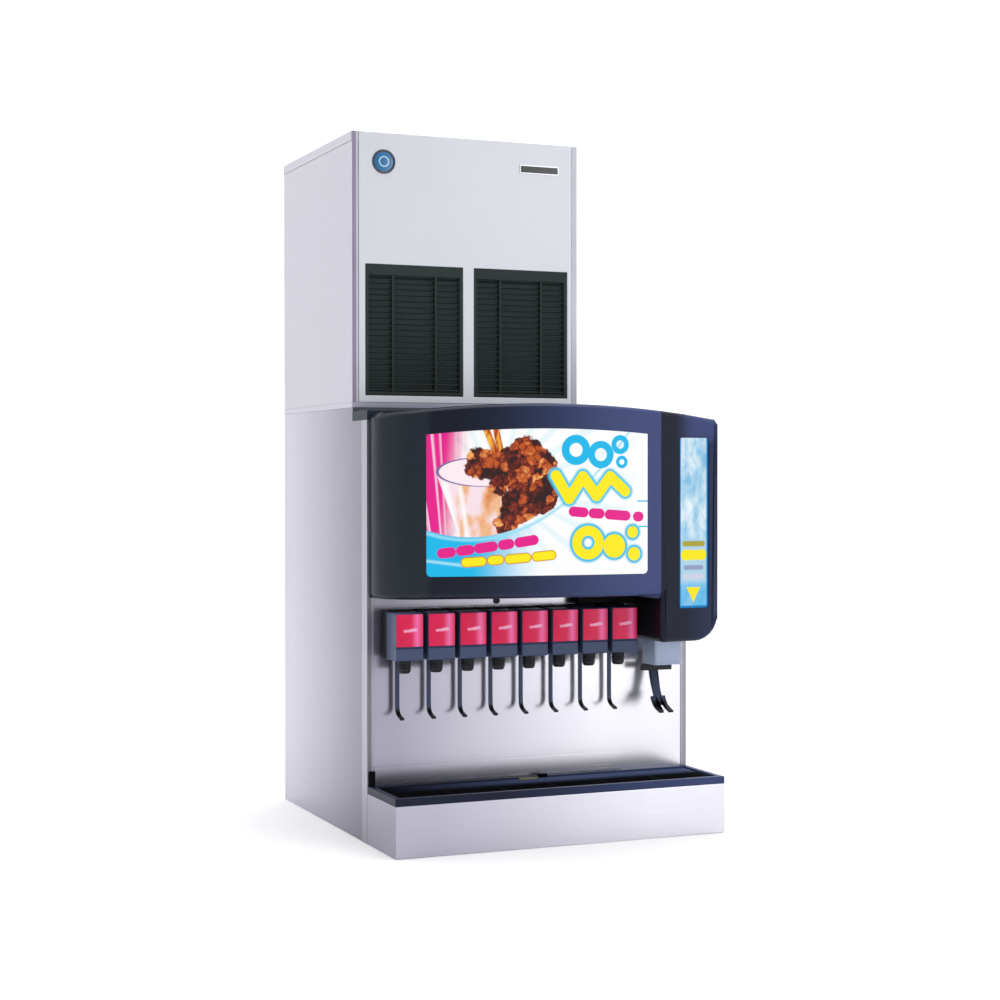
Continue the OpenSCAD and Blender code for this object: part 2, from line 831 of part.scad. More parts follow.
// Side sheet between the base and the lid, with dark front flange; out is -1 for left, 1 for right
module machine_side(outer, out) {
    x0 = out < 0 ? outer : outer - sheet;
    flange_x = out < 0 ? outer : outer - flange;
    color([0.83, 0.83, 0.88]) union() {
        box(x0, x0 + sheet, y_mach, y_back, mach_z, mach_side_top);
        box(flange_x, flange_x + flange, y_mach, y_mach + sheet, mach_z, z_top - 1);
        box(flange_x, flange_x + flange, y_back - sheet, y_back, mach_z, mach_side_top);
    }
}

module machine_side_left() {
    machine_side(mach_in_l, -1);
}

module machine_side_right() {
    machine_side(mach_in_r, 1);
}

// Rear sheet with exhaust louvres
module machine_rear() {
    slot_n = 12;
    color([0.72, 0.73, 0.75]) difference() {
        box(mach_in_l + sheet, mach_in_r - sheet, mach_rear_y - sheet, mach_rear_y, mach_z, mach_side_top);
        for (i = [0:slot_n - 1]) {
            box(-200, 20, mach_rear_y - 10, mach_rear_y + 10, 1100 + i * 22, 1108 + i * 22);
        }
    }
}

// Lid with a deep lip on the sides and back
module machine_top() {
    lid_y0 = y_mach + sheet;
    color([0.84, 0.85, 0.88]) difference() {
        box(x_l, x_mach, lid_y0, y_back, mach_side_top, z_top);
        box(x_l + sheet, x_mach - sheet, lid_y0 + sheet, y_back - sheet, mach_side_top - cut, z_top - sheet);
    }
}

// Front panel with folded edges and two grille openings
module machine_front() {
    fold = 12;
    color([0.85, 0.86, 0.89]) difference() {
        box(front_x0, front_x1, y_mach, y_mach + fold, mach_z, z_top - 1);
        box(front_x0 + sheet, front_x1 - sheet, y_mach + sheet, y_mach + fold + cut,
            mach_z + sheet, mach_side_top - 2);
        box(front_x0 - cut, front_x1 + cut, y_mach + sheet, y_mach + fold + cut,
            mach_side_top - 2, z_top);
        for (x = grille_x) {
            box(x - grille_gap, x + grille_w + grille_gap, y_mach - cut, y_mach + fold,
                grille_z - grille_gap, grille_z + grille_h + grille_gap);
        }
    }
}

// Pull-off air filter grille with tilted louvres and two ribs
module grille(x) {
    y0 = y_mach + 0.5;
    y1 = y0 + grille_t;
    z1 = grille_z + grille_h;
    field = grille_h - grille_top - grille_frame;
    pitch = field / louvre_n;
    color([0.07, 0.12, 0.12]) union() {
        difference() {
            box(x, x + grille_w, y0, y1, grille_z, z1);
            box(x + grille_frame, x + grille_w - grille_frame, y0 - cut, y1 + cut,
                grille_z + grille_frame, z1 - grille_top);
        }
        for (i = [0:louvre_n - 1]) {
            translate([x + grille_frame - cut, (y0 + y1) / 2, grille_z + grille_frame + (i + 0.5) * pitch])
                rotate([louvre_tilt, 0, 0]) translate([0, -5, -louvre_t / 2])
                cube([grille_w - 2 * grille_frame + 2 * cut, 10, louvre_t]);
        }
        for (f = [0.28, 0.72]) {
            box(x + grille_w * f - rib_w / 2, x + grille_w * f + rib_w / 2, y0, y1,
                grille_z + grille_frame - cut, z1 - grille_top + cut);
        }
    }
}

module grille_left() {
    grille(grille_x[0]);
}

module grille_right() {
    grille(grille_x[1]);
}

// Plain round badge
module round_badge() {
    color([0.10, 0.30, 0.42]) bar_y(badge_x, badge_z, y_mach - 2, y_mach, badge_r);
}

// Blank name plate
module name_plate() {
    color([0.10, 0.10, 0.12])
        box(plate_x, plate_x + plate_w, y_mach - 2, y_mach, plate_z, plate_z + plate_h);
}

// ---- ice making parts ----

// Hermetic compressor on its foot plate
module compressor() {
    r = 70;
    x = -290;
    y = 260;
    foot_z = mach_z + 6;
    color([0.08, 0.08, 0.09]) union() {
        box(x - 95, x + 85, y - 80, y + 80, mach_z, foot_z);
        bar_z(x, y, foot_z, foot_z + 120, r);
        translate([x, y, foot_z + 120]) sphere(r = r);
        bar_x(x + 60, x + 110, y, foot_z + 70, 8);
    }
}

// Finned condenser behind the right-hand grille
module condenser() {
    fin_n = 28;
    z0 = mach_z + 10;
    z1 = 1268;
    pitch = (cond_x1 - cond_x0) / fin_n;
    color([0.60, 0.62, 0.64]) union() {
        difference() {
            box(cond_x0, cond_x1, cond_y0, cond_y1, z0, z1);
            for (i = [0:fin_n - 1]) {
                box(cond_x0 + (i + 0.25) * pitch, cond_x0 + (i + 0.75) * pitch,
                    cond_y0 - cut, cond_y0 + 10, z0 - cut, z1 + cut);
            }
        }
        box(cond_x0 + 10, cond_x1 - 10, cond_y0 + 14, cond_y1, mach_z, z0);
    }
}

// Condenser fan: shaft, hub and five pitched blades
module fan() {
    y0 = cond_y1 + 8;
    color([0.15, 0.15, 0.17]) union() {
        bar_y(fan_x, fan_z, y0, 0, fan_shaft_r);
        bar_y(fan_x, fan_z, y0, y0 + 24, 24);
        for (a = [0:72:288]) {
            translate([fan_x, y0 + 12, fan_z]) rotate([0, a, 0]) rotate([25, 0, 0])
                translate([18, -1, -22]) cube([fan_r - 20, 2, 44]);
        }
    }
}

// Fan motor on its stand
module fan_motor() {
    color([0.35, 0.36, 0.38]) difference() {
        union() {
            bar_y(fan_x, fan_z, -14, 50, 38);
            box(fan_x - 12, fan_x + 12, 0, 40, mach_z, fan_z - 30);
            box(fan_x - 40, fan_x + 40, -10, 50, mach_z, mach_z + 4);
        }
        bar_y(fan_x, fan_z, -15, 2, fan_shaft_r + run_gap);
    }
}

// Evaporator barrel and extruding head, open to the spout on its right
module evaporator() {
    color([0.78, 0.70, 0.58]) difference() {
        union() {
            bar_z(evap_x, evap_y, evap_z0, evap_z1, evap_r);
            bar_z(evap_x, evap_y, evap_z0, evap_z0 + 14, evap_r + 10);
            bar_z(evap_x, evap_y, evap_z1, head_z1, head_r);
        }
        bar_z(evap_x, evap_y, evap_z0 - cut, head_z1 - 4, evap_bore);
        box(evap_x, evap_x + head_r + cut, evap_y - 20, evap_y + 20, evap_z1 + 8, head_z1 - 6);
    }
}

// Auger screw turning in the evaporator
module auger() {
    flight_h = 310;
    color([0.80, 0.81, 0.82]) translate([evap_x, evap_y, 0]) union() {
        translate([0, 0, evap_z0 - 28]) cylinder(r = auger_shaft_r, h = 30);
        translate([0, 0, evap_z0 + 2]) cylinder(r = 20, h = flight_h);
        translate([0, 0, evap_z0 + 2])
            linear_extrude(height = flight_h, twist = -1440, slices = 48, convexity = 4)
            translate([auger_r - 22, 0]) circle(r = 22, $fn = 12);
    }
}

// Gear motor under the evaporator
module gear_motor() {
    color([0.30, 0.32, 0.36]) difference() {
        union() {
            box(evap_x - 80, evap_x + 70, evap_y - 60, evap_y + 60, mach_z, evap_z0 - 20);
            bar_z(evap_x, evap_y, evap_z0 - 20, evap_z0, 40);
            bar_y(evap_x - 30, mach_z + 50, evap_y + 60, evap_y + 110, 42);
        }
        bar_z(evap_x, evap_y, evap_z0 - 30, evap_z0 + cut, auger_shaft_r + run_gap);
    }
}

// Electrical box
module control_box() {
    color([0.70, 0.72, 0.74]) union() {
        box(-40, 150, 210, mach_rear_y - sheet, 1290, 1480);
        box(-44, 154, 206, 210, 1286, 1484);
    }
}

// Float tank that feeds the evaporator
module water_reservoir() {
    color([0.88, 0.90, 0.92]) union() {
        box(-380, -300, 20, 100, 1180, 1290);
        box(-384, -298, 16, 104, 1290, 1296);
        bar_x(-300, evap_x - evap_r, evap_y, 1195, 7);
    }
}

// Duct that drops the ice from the extruding head into the hopper
module ice_spout() {
    half = spout_w / 2;
    wall = 3;
    x0 = evap_x + head_r + 2;
    floor_z = evap_z1 + 2;
    top_z = head_z1 + 3;
    color([0.90, 0.90, 0.88]) difference() {
        union() {
            box(drop_x - half, drop_x + half, drop_y - half, drop_y + half, disp_h - 8, top_z);
            box(x0, drop_x, drop_y - half, drop_y + half, floor_z, top_z);
        }
        box(drop_x - half + wall, drop_x + half - wall, drop_y - half + wall, drop_y + half - wall,
            disp_h - 9, top_z - wall);
        box(x0 - cut, drop_x, drop_y - half + wall, drop_y + half - wall, floor_z + wall, top_z - wall);
    }
}

cabinet_base();
cabinet_side_left();
cabinet_side_right();
cabinet_rear();
cabinet_front();
cabinet_deck();
hopper_lid();
ice_hopper();
cold_plate();
agitator();
agitator_motor();
bonnet();
main_graphic();
ice_graphic();
light_panels();
splash_plate();
corner_trims();
key_lock();
valve_housings();
valve_labels();
mounting_blocks();
nozzles();
lever_pins();
lever(0);  // lever_1
lever(1);  // lever_2
lever(2);  // lever_3
lever(3);  // lever_4
lever(4);  // lever_5
lever(5);  // lever_6
lever(6);  // lever_7
lever(7);  // lever_8
ice_chute();
ice_gate();
ice_lever();
drip_tray();
tray_basin();
cup_rest();
drain_pipe();
service_inlets();
power_glands();
machine_base();
machine_side_left();
machine_side_right();
machine_rear();
machine_top();
machine_front();
grille_left();
grille_right();
round_badge();
name_plate();
compressor();
condenser();
fan();
fan_motor();
evaporator();
auger();
gear_motor();
control_box();
water_reservoir();
ice_spout();
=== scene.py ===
"""Looks of the ice maker and drink dispenser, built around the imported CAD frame.

Meshes are drawn in millimetres and scaled to metres when they become objects.
"""

from math import atan2, cos, degrees, pi, radians, sin, sqrt

import bmesh
import bpy
from mathutils import Matrix, Vector
from mathutils.bvhtree import BVHTree


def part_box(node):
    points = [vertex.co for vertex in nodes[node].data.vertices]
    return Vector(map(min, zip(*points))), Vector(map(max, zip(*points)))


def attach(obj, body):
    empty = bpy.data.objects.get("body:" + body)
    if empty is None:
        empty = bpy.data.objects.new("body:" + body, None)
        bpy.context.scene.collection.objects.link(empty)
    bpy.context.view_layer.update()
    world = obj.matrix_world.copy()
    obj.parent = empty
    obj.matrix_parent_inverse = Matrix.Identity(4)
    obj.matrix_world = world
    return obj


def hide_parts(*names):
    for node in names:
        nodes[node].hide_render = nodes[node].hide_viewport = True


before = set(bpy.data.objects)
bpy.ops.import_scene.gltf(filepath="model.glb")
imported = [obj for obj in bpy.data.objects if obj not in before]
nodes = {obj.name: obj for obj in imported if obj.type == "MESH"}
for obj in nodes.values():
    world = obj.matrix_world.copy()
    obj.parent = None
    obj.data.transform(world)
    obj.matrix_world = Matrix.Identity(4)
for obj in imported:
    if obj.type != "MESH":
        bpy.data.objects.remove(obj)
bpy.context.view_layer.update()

MM = 0.001
SHARP = radians(32)


# ---- mesh helpers ----


def span(node):
    """Lowest and highest corner of a CAD node, in millimetres."""
    low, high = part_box(node)
    return low / MM, high / MM


def arc(cx, cy, r, a0, a1, n):
    """Points on an arc from angle a0 to a1, in degrees."""
    turns = [radians(a0 + (a1 - a0) * i / n) for i in range(n + 1)]
    return [(cx + r * cos(t), cy + r * sin(t)) for t in turns]


def prism(outline, axis, low, high):
    """Closed prism: an outline across an axis, run along it from low to high."""
    place = {
        "x": lambda u, v, w: (w, u, v),
        "y": lambda u, v, w: (u, w, v),
        "z": lambda u, v, w: (u, v, w),
    }[axis]
    bm = bmesh.new()
    near, far = ([bm.verts.new(place(u, v, w)) for u, v in outline] for w in (low, high))
    bm.faces.new(near)
    bm.faces.new(far)
    for i in range(len(outline)):
        j = (i + 1) % len(outline)
        bm.faces.new((near[i], near[j], far[j], far[i]))
    bmesh.ops.recalc_face_normals(bm, faces=bm.faces)
    return bm


def block(x0, x1, y0, y1, z0, z1):
    """Box between two corners."""
    return prism([(x0, y0), (x1, y0), (x1, y1), (x0, y1)], "z", z0, z1)


def turned(profile, segments=32):
    """Closed solid of revolution about Z from (radius, height) points, bottom to top."""
    bm = bmesh.new()
    rings = []
    for r, z in profile:
        turns = [2 * pi * i / segments for i in range(segments)]
        rings.append([bm.verts.new((r * cos(t), r * sin(t), z)) for t in turns])
    for low, high in zip(rings, rings[1:]):
        for i in range(segments):
            j = (i + 1) % segments
            bm.faces.new((low[i], low[j], high[j], high[i]))
    bm.faces.new(rings[0])
    bm.faces.new(rings[-1])
    bmesh.ops.recalc_face_normals(bm, faces=bm.faces)
    return bm


def moved(bm, x=0, y=0, z=0, turn=None):
    """Turns a mesh about the origin, then moves it."""
    if turn:
        angle, axis = turn
        bmesh.ops.transform(bm, matrix=Matrix.Rotation(radians(angle), 4, axis), verts=bm.verts)
    bmesh.ops.translate(bm, vec=(x, y, z), verts=bm.verts)
    return bm


def tagged(bm, index):
    """Gives every face of a mesh one material index."""
    for face in bm.faces:
        face.material_index = index
    return bm


def joined(*parts):
    """One mesh that holds several."""
    whole = bmesh.new()
    for part in parts:
        held = bpy.data.meshes.new("held")
        part.to_mesh(held)
        part.free()
        whole.from_mesh(held)
        bpy.data.meshes.remove(held)
    return whole


def soften(bm, width, segments=3, angle=35, pick=None):
    """Rounds the edges sharper than an angle, or those of them that pick says."""
    sharp = [e for e in bm.edges if len(e.link_faces) == 2 and e.calc_face_angle(0) > radians(angle)]
    bmesh.ops.bevel(
        bm, geom=[e for e in sharp if pick is None or pick(e)], offset=width, offset_type="OFFSET",
        segments=segments, profile=0.5, affect="EDGES", clamp_overlap=False,
    )
    return bm


def middle(edge):
    """Middle point of an edge."""
    return (edge.verts[0].co + edge.verts[1].co) / 2


def reach(edge, letter):
    """How far an edge runs along an axis."""
    a, b = (v.co["xyz".index(letter)] for v in edge.verts)
    return abs(a - b)


def as_object(name, bm):
    """A mesh made an object of the scene."""
    mesh = bpy.data.meshes.new(name)
    bm.to_mesh(mesh)
    bm.free()
    obj = bpy.data.objects.new(name, mesh)
    bpy.context.scene.collection.objects.link(obj)
    return obj


def combined(first, second, operation):
    """Exact boolean of two meshes."""
    made = [as_object("held", bm) for bm in (first, second)]
    step = made[0].modifiers.new("step", "BOOLEAN")
    step.operation = operation
    step.solver = "EXACT"
    step.object = made[1]
    graph = bpy.context.evaluated_depsgraph_get()
    result = bmesh.new()
    result.from_mesh(made[0].evaluated_get(graph).to_mesh())
    made[0].evaluated_get(graph).to_mesh_clear()
    for obj in made:
        mesh = obj.data
        bpy.data.objects.remove(obj)
        bpy.data.meshes.remove(mesh)
    bmesh.ops.remove_doubles(result, verts=result.verts, dist=0.01)
    return result


def from_node(node):
    """A CAD node's own mesh with its flat faces made whole again."""
    bm = bmesh.new()
    bm.from_mesh(nodes[node].data)
    bmesh.ops.scale(bm, vec=(1 / MM,) * 3, verts=bm.verts)
    bmesh.ops.remove_doubles(bm, verts=bm.verts, dist=0.002)
    bmesh.ops.dissolve_limit(
        bm, angle_limit=radians(0.6), use_dissolve_boundaries=False, verts=bm.verts, edges=bm.edges
    )
    return bm


def build(name, bm, materials, stands_for=(), body="cabinet"):
    """Makes a mesh a piece that rides on a body, with smooth faces between its sharp edges."""
    bmesh.ops.scale(bm, vec=(MM,) * 3, verts=bm.verts)
    for face in bm.faces:
        face.smooth = True
    for edge in bm.edges:
        edge.smooth = len(edge.link_faces) == 2 and edge.calc_face_angle(0) < SHARP
    obj = as_object(name, bm)
    stored = obj.data.attributes.get("custom_normal")
    if stored:
        obj.data.attributes.remove(stored)
    for material in materials:
        obj.data.materials.append(material)
    even = obj.modifiers.new("even", "WEIGHTED_NORMAL")
    even.keep_sharp = True
    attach(obj, body)
    if stands_for:
        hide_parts(*stands_for)
    return obj


def finish_node(node, width, materials, segments=2, pick=None, way=None, body="cabinet"):
    """A CAD node with its edges rounded; faces across one way can have a second material."""
    bm = soften(from_node(node), width, segments, pick=pick)
    if way:
        for face in bm.faces:
            face.material_index = int(abs(face.normal.dot(way)) > 0.7)
    return build(node + "_finish", bm, materials, [node], body)


# ---- materials ----


class Tree:
    """A node tree and the steps that looks are worked out with."""

    def __init__(self, owner):
        owner.use_nodes = True
        self.tree = owner.node_tree

    def put(self, socket, value):
        """Sets a socket to a value, or joins another socket to it."""
        if isinstance(value, bpy.types.NodeSocket):
            self.tree.links.new(value, socket)
        else:
            socket.default_value = value

    def calc(self, operation, *values, clamp=False):
        """Math node."""
        node = self.tree.nodes.new("ShaderNodeMath")
        node.operation = operation
        node.use_clamp = clamp
        for socket, value in zip(node.inputs, values):
            self.put(socket, value)
        return node.outputs[0]

    def plus(self, first, second):
        """Sum."""
        return self.calc("ADD", first, second)

    def less(self, first, second):
        """Difference."""
        return self.calc("SUBTRACT", first, second)

    def times(self, first, second):
        """Product."""
        return self.calc("MULTIPLY", first, second)

    def distance(self, value):
        """Value without its sign."""
        return self.calc("ABSOLUTE", value)

    def blend(self, share, first, second):
        """Colour between two colours."""
        node = self.tree.nodes.new("ShaderNodeMix")
        node.data_type = "RGBA"
        self.put(node.inputs[0], share)
        self.put(node.inputs[6], first)
        self.put(node.inputs[7], second)
        return node.outputs[2]

    def remap(self, value, low, high, to_low=0.0, to_high=1.0, smooth=False):
        """Value from one range to another, clamped."""
        node = self.tree.nodes.new("ShaderNodeMapRange")
        node.clamp = True
        if smooth:
            node.interpolation_type = "SMOOTHSTEP"
        for socket, given in zip(node.inputs, (value, low, high, to_low, to_high)):
            self.put(socket, given)
        return node.outputs[0]


class Look(Tree):
    """One material: a Principled shader and the nodes that vary it."""

    def __init__(self, name, rough=0.5, metal=0.0, coat=0.0, shine=0.5):
        self.material = bpy.data.materials.new(name)
        super().__init__(self.material)
        self.shader = self.tree.nodes["Principled BSDF"]
        self.set("Metallic", metal)
        self.set("Roughness", rough)
        self.set("Specular IOR Level", shine)
        if coat:
            self.set("Coat Weight", coat)
            self.set("Coat Roughness", 0.12)
        self.here = self.tree.nodes.new("ShaderNodeTexCoord").outputs["Object"]

    def set(self, name, value):
        """Sets or joins one of the shader's sockets."""
        self.put(self.shader.inputs[name], value)

    def stretched(self, scale):
        """Object position with each axis multiplied."""
        node = self.tree.nodes.new("ShaderNodeVectorMath")
        node.operation = "MULTIPLY"
        self.put(node.inputs[0], self.here)
        node.inputs[1].default_value = scale
        return node.outputs[0]

    def noise(self, scale, detail=2.0, rough=0.5):
        """Noise from 0 to 1 with a scale per axis."""
        node = self.tree.nodes.new("ShaderNodeTexNoise")
        self.put(node.inputs["Vector"], self.stretched(scale))
        node.inputs["Scale"].default_value = 1.0
        node.inputs["Detail"].default_value = detail
        node.inputs["Roughness"].default_value = rough
        return node.outputs["Fac"]

    def cells(self, scale, output="Distance", feature="F1", warp=0.0):
        """Voronoi cells with a scale per axis; warp bends their walls."""
        node = self.tree.nodes.new("ShaderNodeTexVoronoi")
        node.feature = feature
        place = self.stretched(scale)
        if warp:
            bend = self.tree.nodes.new("ShaderNodeTexNoise")
            self.put(bend.inputs["Vector"], place)
            bend.inputs["Scale"].default_value = 1.3
            push = self.tree.nodes.new("ShaderNodeVectorMath")
            push.operation = "MULTIPLY_ADD"
            self.put(push.inputs[0], bend.outputs["Color"])
            push.inputs[1].default_value = (warp,) * 3
            self.put(push.inputs[2], place)
            place = push.outputs[0]
        self.put(node.inputs["Vector"], place)
        node.inputs["Scale"].default_value = 1.0
        return node.outputs[output]

    def axis(self, letter):
        """One coordinate of the object position, in millimetres."""
        node = self.tree.nodes.new("ShaderNodeSeparateXYZ")
        self.put(node.inputs[0], self.here)
        return self.times(node.outputs["XYZ".index(letter)], 1 / MM)

    def relief(self, height, depth, strength=1.0):
        """Bump from a height, depth in millimetres."""
        node = self.tree.nodes.new("ShaderNodeBump")
        node.inputs["Strength"].default_value = strength
        node.inputs["Distance"].default_value = depth * MM
        self.put(node.inputs["Height"], height)
        self.set("Normal", node.outputs[0])


WHITE = (1.0, 1.0, 1.0, 1.0)
GRAIN_ACROSS, GRAIN_ALONG = 2600, 7


def tint(colour, factor):
    """Colour with its brightness multiplied."""
    return tuple(min(c * factor, 1.0) for c in colour[:3]) + (1.0,)


def srgb(r, g, b):
    """Linear colour from screen values of 0 to 255."""
    return tuple(((c / 255 + 0.055) / 1.055) ** 2.4 for c in (r, g, b)) + (1.0,)


def graded(look, share, colour, low, high, painted_light_ramp=None):
    """Cloudy colour that turns into a second one between two places on an axis: a painted light ramp, for
    painted shade and painted reflection.
    """
    if painted_light_ramp:
        letter, start, stop, other = painted_light_ramp
        near, far = (graded(look, share, c, low, high) for c in (colour, other))
        return look.blend(look.remap(look.axis(letter), start, stop), near, far)
    return look.blend(share, tint(srgb(*colour), low), tint(srgb(*colour), high))


def brushed(name, colour, rough, grain="z", metal=1.0, painted_light_ramp=None):
    """Satin steel: fine lines along one axis, faint clouds and a soft sheen, and a painted light ramp
    when one is given.
    """
    look = Look(name, metal=metal)
    scale = tuple(GRAIN_ALONG if letter == grain else GRAIN_ACROSS for letter in "xyz")
    lines = look.noise(scale, detail=3)
    clouds = look.noise((2.4, 2.4, 2.4), detail=3)
    tone = look.plus(look.times(lines, 0.5), look.times(clouds, 0.5))
    look.set("Base Color", graded(look, look.remap(tone, 0.3, 0.7), colour, 0.93, 1.05, painted_light_ramp))
    look.set("Roughness", look.remap(tone, 0.25, 0.75, rough - 0.05, rough + 0.07))
    look.relief(lines, 0.012, 0.5)
    return look.material


def moulded(name, colour, rough, grain=900, depth=0.05, coat=0.0, shine=0.5, painted_light_ramp=None):
    """Moulded plastic or powder coat: fine texture and a faint change of tone, and a painted light ramp
    when one is given.
    """
    look = Look(name, coat=coat, shine=shine)
    fine = look.noise((grain,) * 3, detail=2)
    clouds = look.noise((5, 5, 5), detail=4)
    look.set("Base Color", graded(look, look.remap(clouds, 0.3, 0.7), colour, 0.9, 1.12, painted_light_ramp))
    look.set("Roughness", look.remap(fine, 0.3, 0.7, rough - 0.05, rough + 0.06))
    look.relief(fine, depth, 0.35)
    return look.material


def two_mouldings(name, corner, near, far, housing, seam):
    """Textured plastic in two mouldings that meet at a thin upright seam, with painted reflections across
    it, X in millimetres.
    """
    look = Look(name, shine=0.24)
    fine = look.noise((1200,) * 3, detail=2)
    x = look.axis("X")
    side = look.remap(x, seam - 0.3, seam + 0.3)
    gap = look.remap(look.distance(look.less(x, seam)), 0.5, 1.1)
    # Painted reflections: a paler left corner, a blue-lit sweep across the front, then a painted sheen
    # high on the ice housing, stronger to the right and weaker on its right side face
    colour = look.blend(look.remap(x, -296, -280, smooth=True), corner, near)
    colour = look.blend(look.remap(x, -240, 200, smooth=True), colour, far)
    high = look.remap(look.axis("Z"), 845, 900, smooth=True)
    painted_sheen = look.times(high, look.remap(x, 270, 325, smooth=True))
    share = look.calc("MAXIMUM", look.times(painted_sheen, 0.95), look.remap(x, 300, 400, 0, 0.45))
    share = look.times(share, look.remap(x, 385, 390, 1, 0.3))
    colour = look.blend(side, colour, look.blend(share, housing, far))
    look.set("Base Color", look.blend(gap, (0.004, 0.004, 0.006, 1), colour))
    base = look.blend(side, (0.26, 0.26, 0.26, 1), (0.42, 0.42, 0.42, 1))
    look.set("Roughness", look.calc("MULTIPLY_ADD", look.remap(fine, 0.3, 0.7), 0.08, base))
    height = look.calc("MULTIPLY_ADD", fine, 0.03, look.times(gap, 0.6))
    look.relief(height, 1.0, 0.4)
    return look.material


def cast(name, colour, rough, metal=1.0):
    """Cast or formed metal with an uneven, slightly mottled skin."""
    look = Look(name, metal=metal)
    skin = look.noise((260, 260, 260), detail=5, rough=0.65)
    clouds = look.noise((9, 9, 9), detail=4)
    look.set("Base Color", graded(look, look.remap(clouds, 0.3, 0.7), colour, 0.82, 1.1))
    look.set("Roughness", look.remap(skin, 0.3, 0.7, rough - 0.08, rough + 0.1))
    look.relief(skin, 0.15, 0.4)
    return look.material


def rest_face(name, dark, pale):
    """Matt slats that are paler at the rear right, where light is painted on, under a black tab."""
    look = Look(name, rough=0.85, shine=0.06)
    rear = look.remap(look.axis("Y"), -318, -262, smooth=True)
    right = look.remap(look.axis("X"), -360, 80)
    flat = look.remap(look.axis("Z"), 124.6, 124.2)
    share = look.times(look.times(rear, right), flat)
    look.set("Base Color", look.blend(share, dark, pale))
    look.relief(look.noise((900,) * 3), 0.04, 0.35)
    return look.material


def trim_face(name, light, left, right, edge):
    """Satin trim whose outer part, past a distance from the middle, is a darker bead, with painted shade
    making it darker on the left trim than on the right.
    """
    look = Look(name, metal=0.6)
    lines = look.noise((GRAIN_ACROSS, GRAIN_ACROSS, GRAIN_ALONG), detail=3)
    x = look.axis("X")
    outer = look.remap(look.distance(x), edge, edge + 1)
    # The outer bead is darker on the left trim than on the right: painted shade
    colour = look.blend(outer, light, look.blend(look.remap(x, -1, 1), left, right))
    look.set("Base Color", look.blend(look.remap(lines, 0.3, 0.7, 0, 0.2), colour, WHITE))
    look.set("Roughness", look.remap(lines, 0.25, 0.75, 0.28, 0.4))
    look.relief(lines, 0.012, 0.5)
    return look.material


# ---- finishes ----

# Cabinet sides: painted shade, darker towards the front
panel_steel = brushed(
    "panel_steel", (186, 184, 195), 0.42, painted_light_ramp=("Y", 340, -225, (125, 122, 135))
)
machine_side_steel = brushed("machine_side", (183, 182, 191), 0.42)
# Side faces of the drip tray apron: darker as painted shade
apron_side_shaded_steel = brushed("apron_side", (152, 150, 163), 0.36, grain="y")
machine_steel = brushed("machine_panel", (213, 215, 221), 0.42, metal=0.6)
# Drip tray apron: painted light, darker at the left and brighter to the right
front_steel = brushed(
    "stainless", (177, 175, 189), 0.24, grain="x", painted_light_ramp=("X", -300, 200, (220, 219, 227))
)
# Splash plate: painted reflection, darker at the left and brighter to the right
splash_steel = brushed(
    "splash_steel", (161, 159, 174), 0.22, grain="x", metal=0.9,
    painted_light_ramp=("X", -330, 170, (226, 225, 232)),
)
trim_steel = brushed("trim_steel", (146, 145, 156), 0.30)
# Strip above the valves: painted shade, darker at the left
strip_steel = brushed(
    "strip_steel", (150, 147, 158), 0.24, grain="x", painted_light_ramp=("X", -330, 150, (204, 203, 212))
)
hidden_steel = brushed("hidden_steel", (176, 178, 184), 0.45, grain="x")
# Corner trim fronts: the left bead is darker as painted shade
trim_front = trim_face(
    "trim_front", srgb(156, 155, 166), srgb(92, 90, 102), srgb(128, 126, 138), 380.5
)
base_paint = moulded("dark_base", (84, 86, 92), 0.55)
deck_paint = moulded("deck_plastic", (62, 68, 78), 0.5)
# Front of the machine base band: darker purple-grey as painted shade under the front panel
band_shade = moulded("machine_band", (172, 170, 188), 0.42)
# Front flanges of the machine sides: painted shade of the groove at the left flange's outer edge, pale
# elsewhere
edge_groove_shade = moulded("edge_band", (136, 128, 150), 0.4, painted_light_ramp=("X", -382, -379, (196, 196, 206)))
cap_plastic = moulded("cap_plastic", (34, 44, 56), 0.42, shine=0.1)
# Bonnet colours: corner and far are painted reflections, near and housing the plastic's own tones
bonnet_plastic = two_mouldings(
    "bonnet_plastic", srgb(32, 39, 48), srgb(18, 24, 38), srgb(56, 68, 114), srgb(13, 20, 40), 239
)
inner_plastic = moulded("bonnet_inside", (9, 10, 12), 0.6, shine=0.2)
valve_plastic = moulded("valve_plastic", (58, 69, 100), 0.32, depth=0.03, shine=0.3)
valve_back = moulded("valve_back", (11, 13, 17), 0.5, shine=0.2)
nozzle_black = moulded("nozzle_black", (12, 15, 22), 0.34, shine=0.3)
block_black = moulded("block_black", (10, 11, 14), 0.5, shine=0.2)
lever_plastic = moulded("lever_plastic", (44, 56, 86), 0.28, depth=0.02, shine=0.35)
lever_tip = moulded("lever_tip", (8, 11, 20), 0.42, shine=0.3)
chute_plastic = moulded("chute_plastic", (150, 165, 192), 0.24, depth=0.02, coat=0.2)
liner_white = moulded("liner_white", (222, 224, 226), 0.4)
white_plastic = moulded("white_plastic", (226, 226, 220), 0.42)
# Drip tray: painted light, the navy rim lighter towards the right
tray_black = moulded(
    "tray_black", (20, 27, 48), 0.4, depth=0.04, shine=0.16, painted_light_ramp=("X", -150, 330, (54, 66, 106))
)
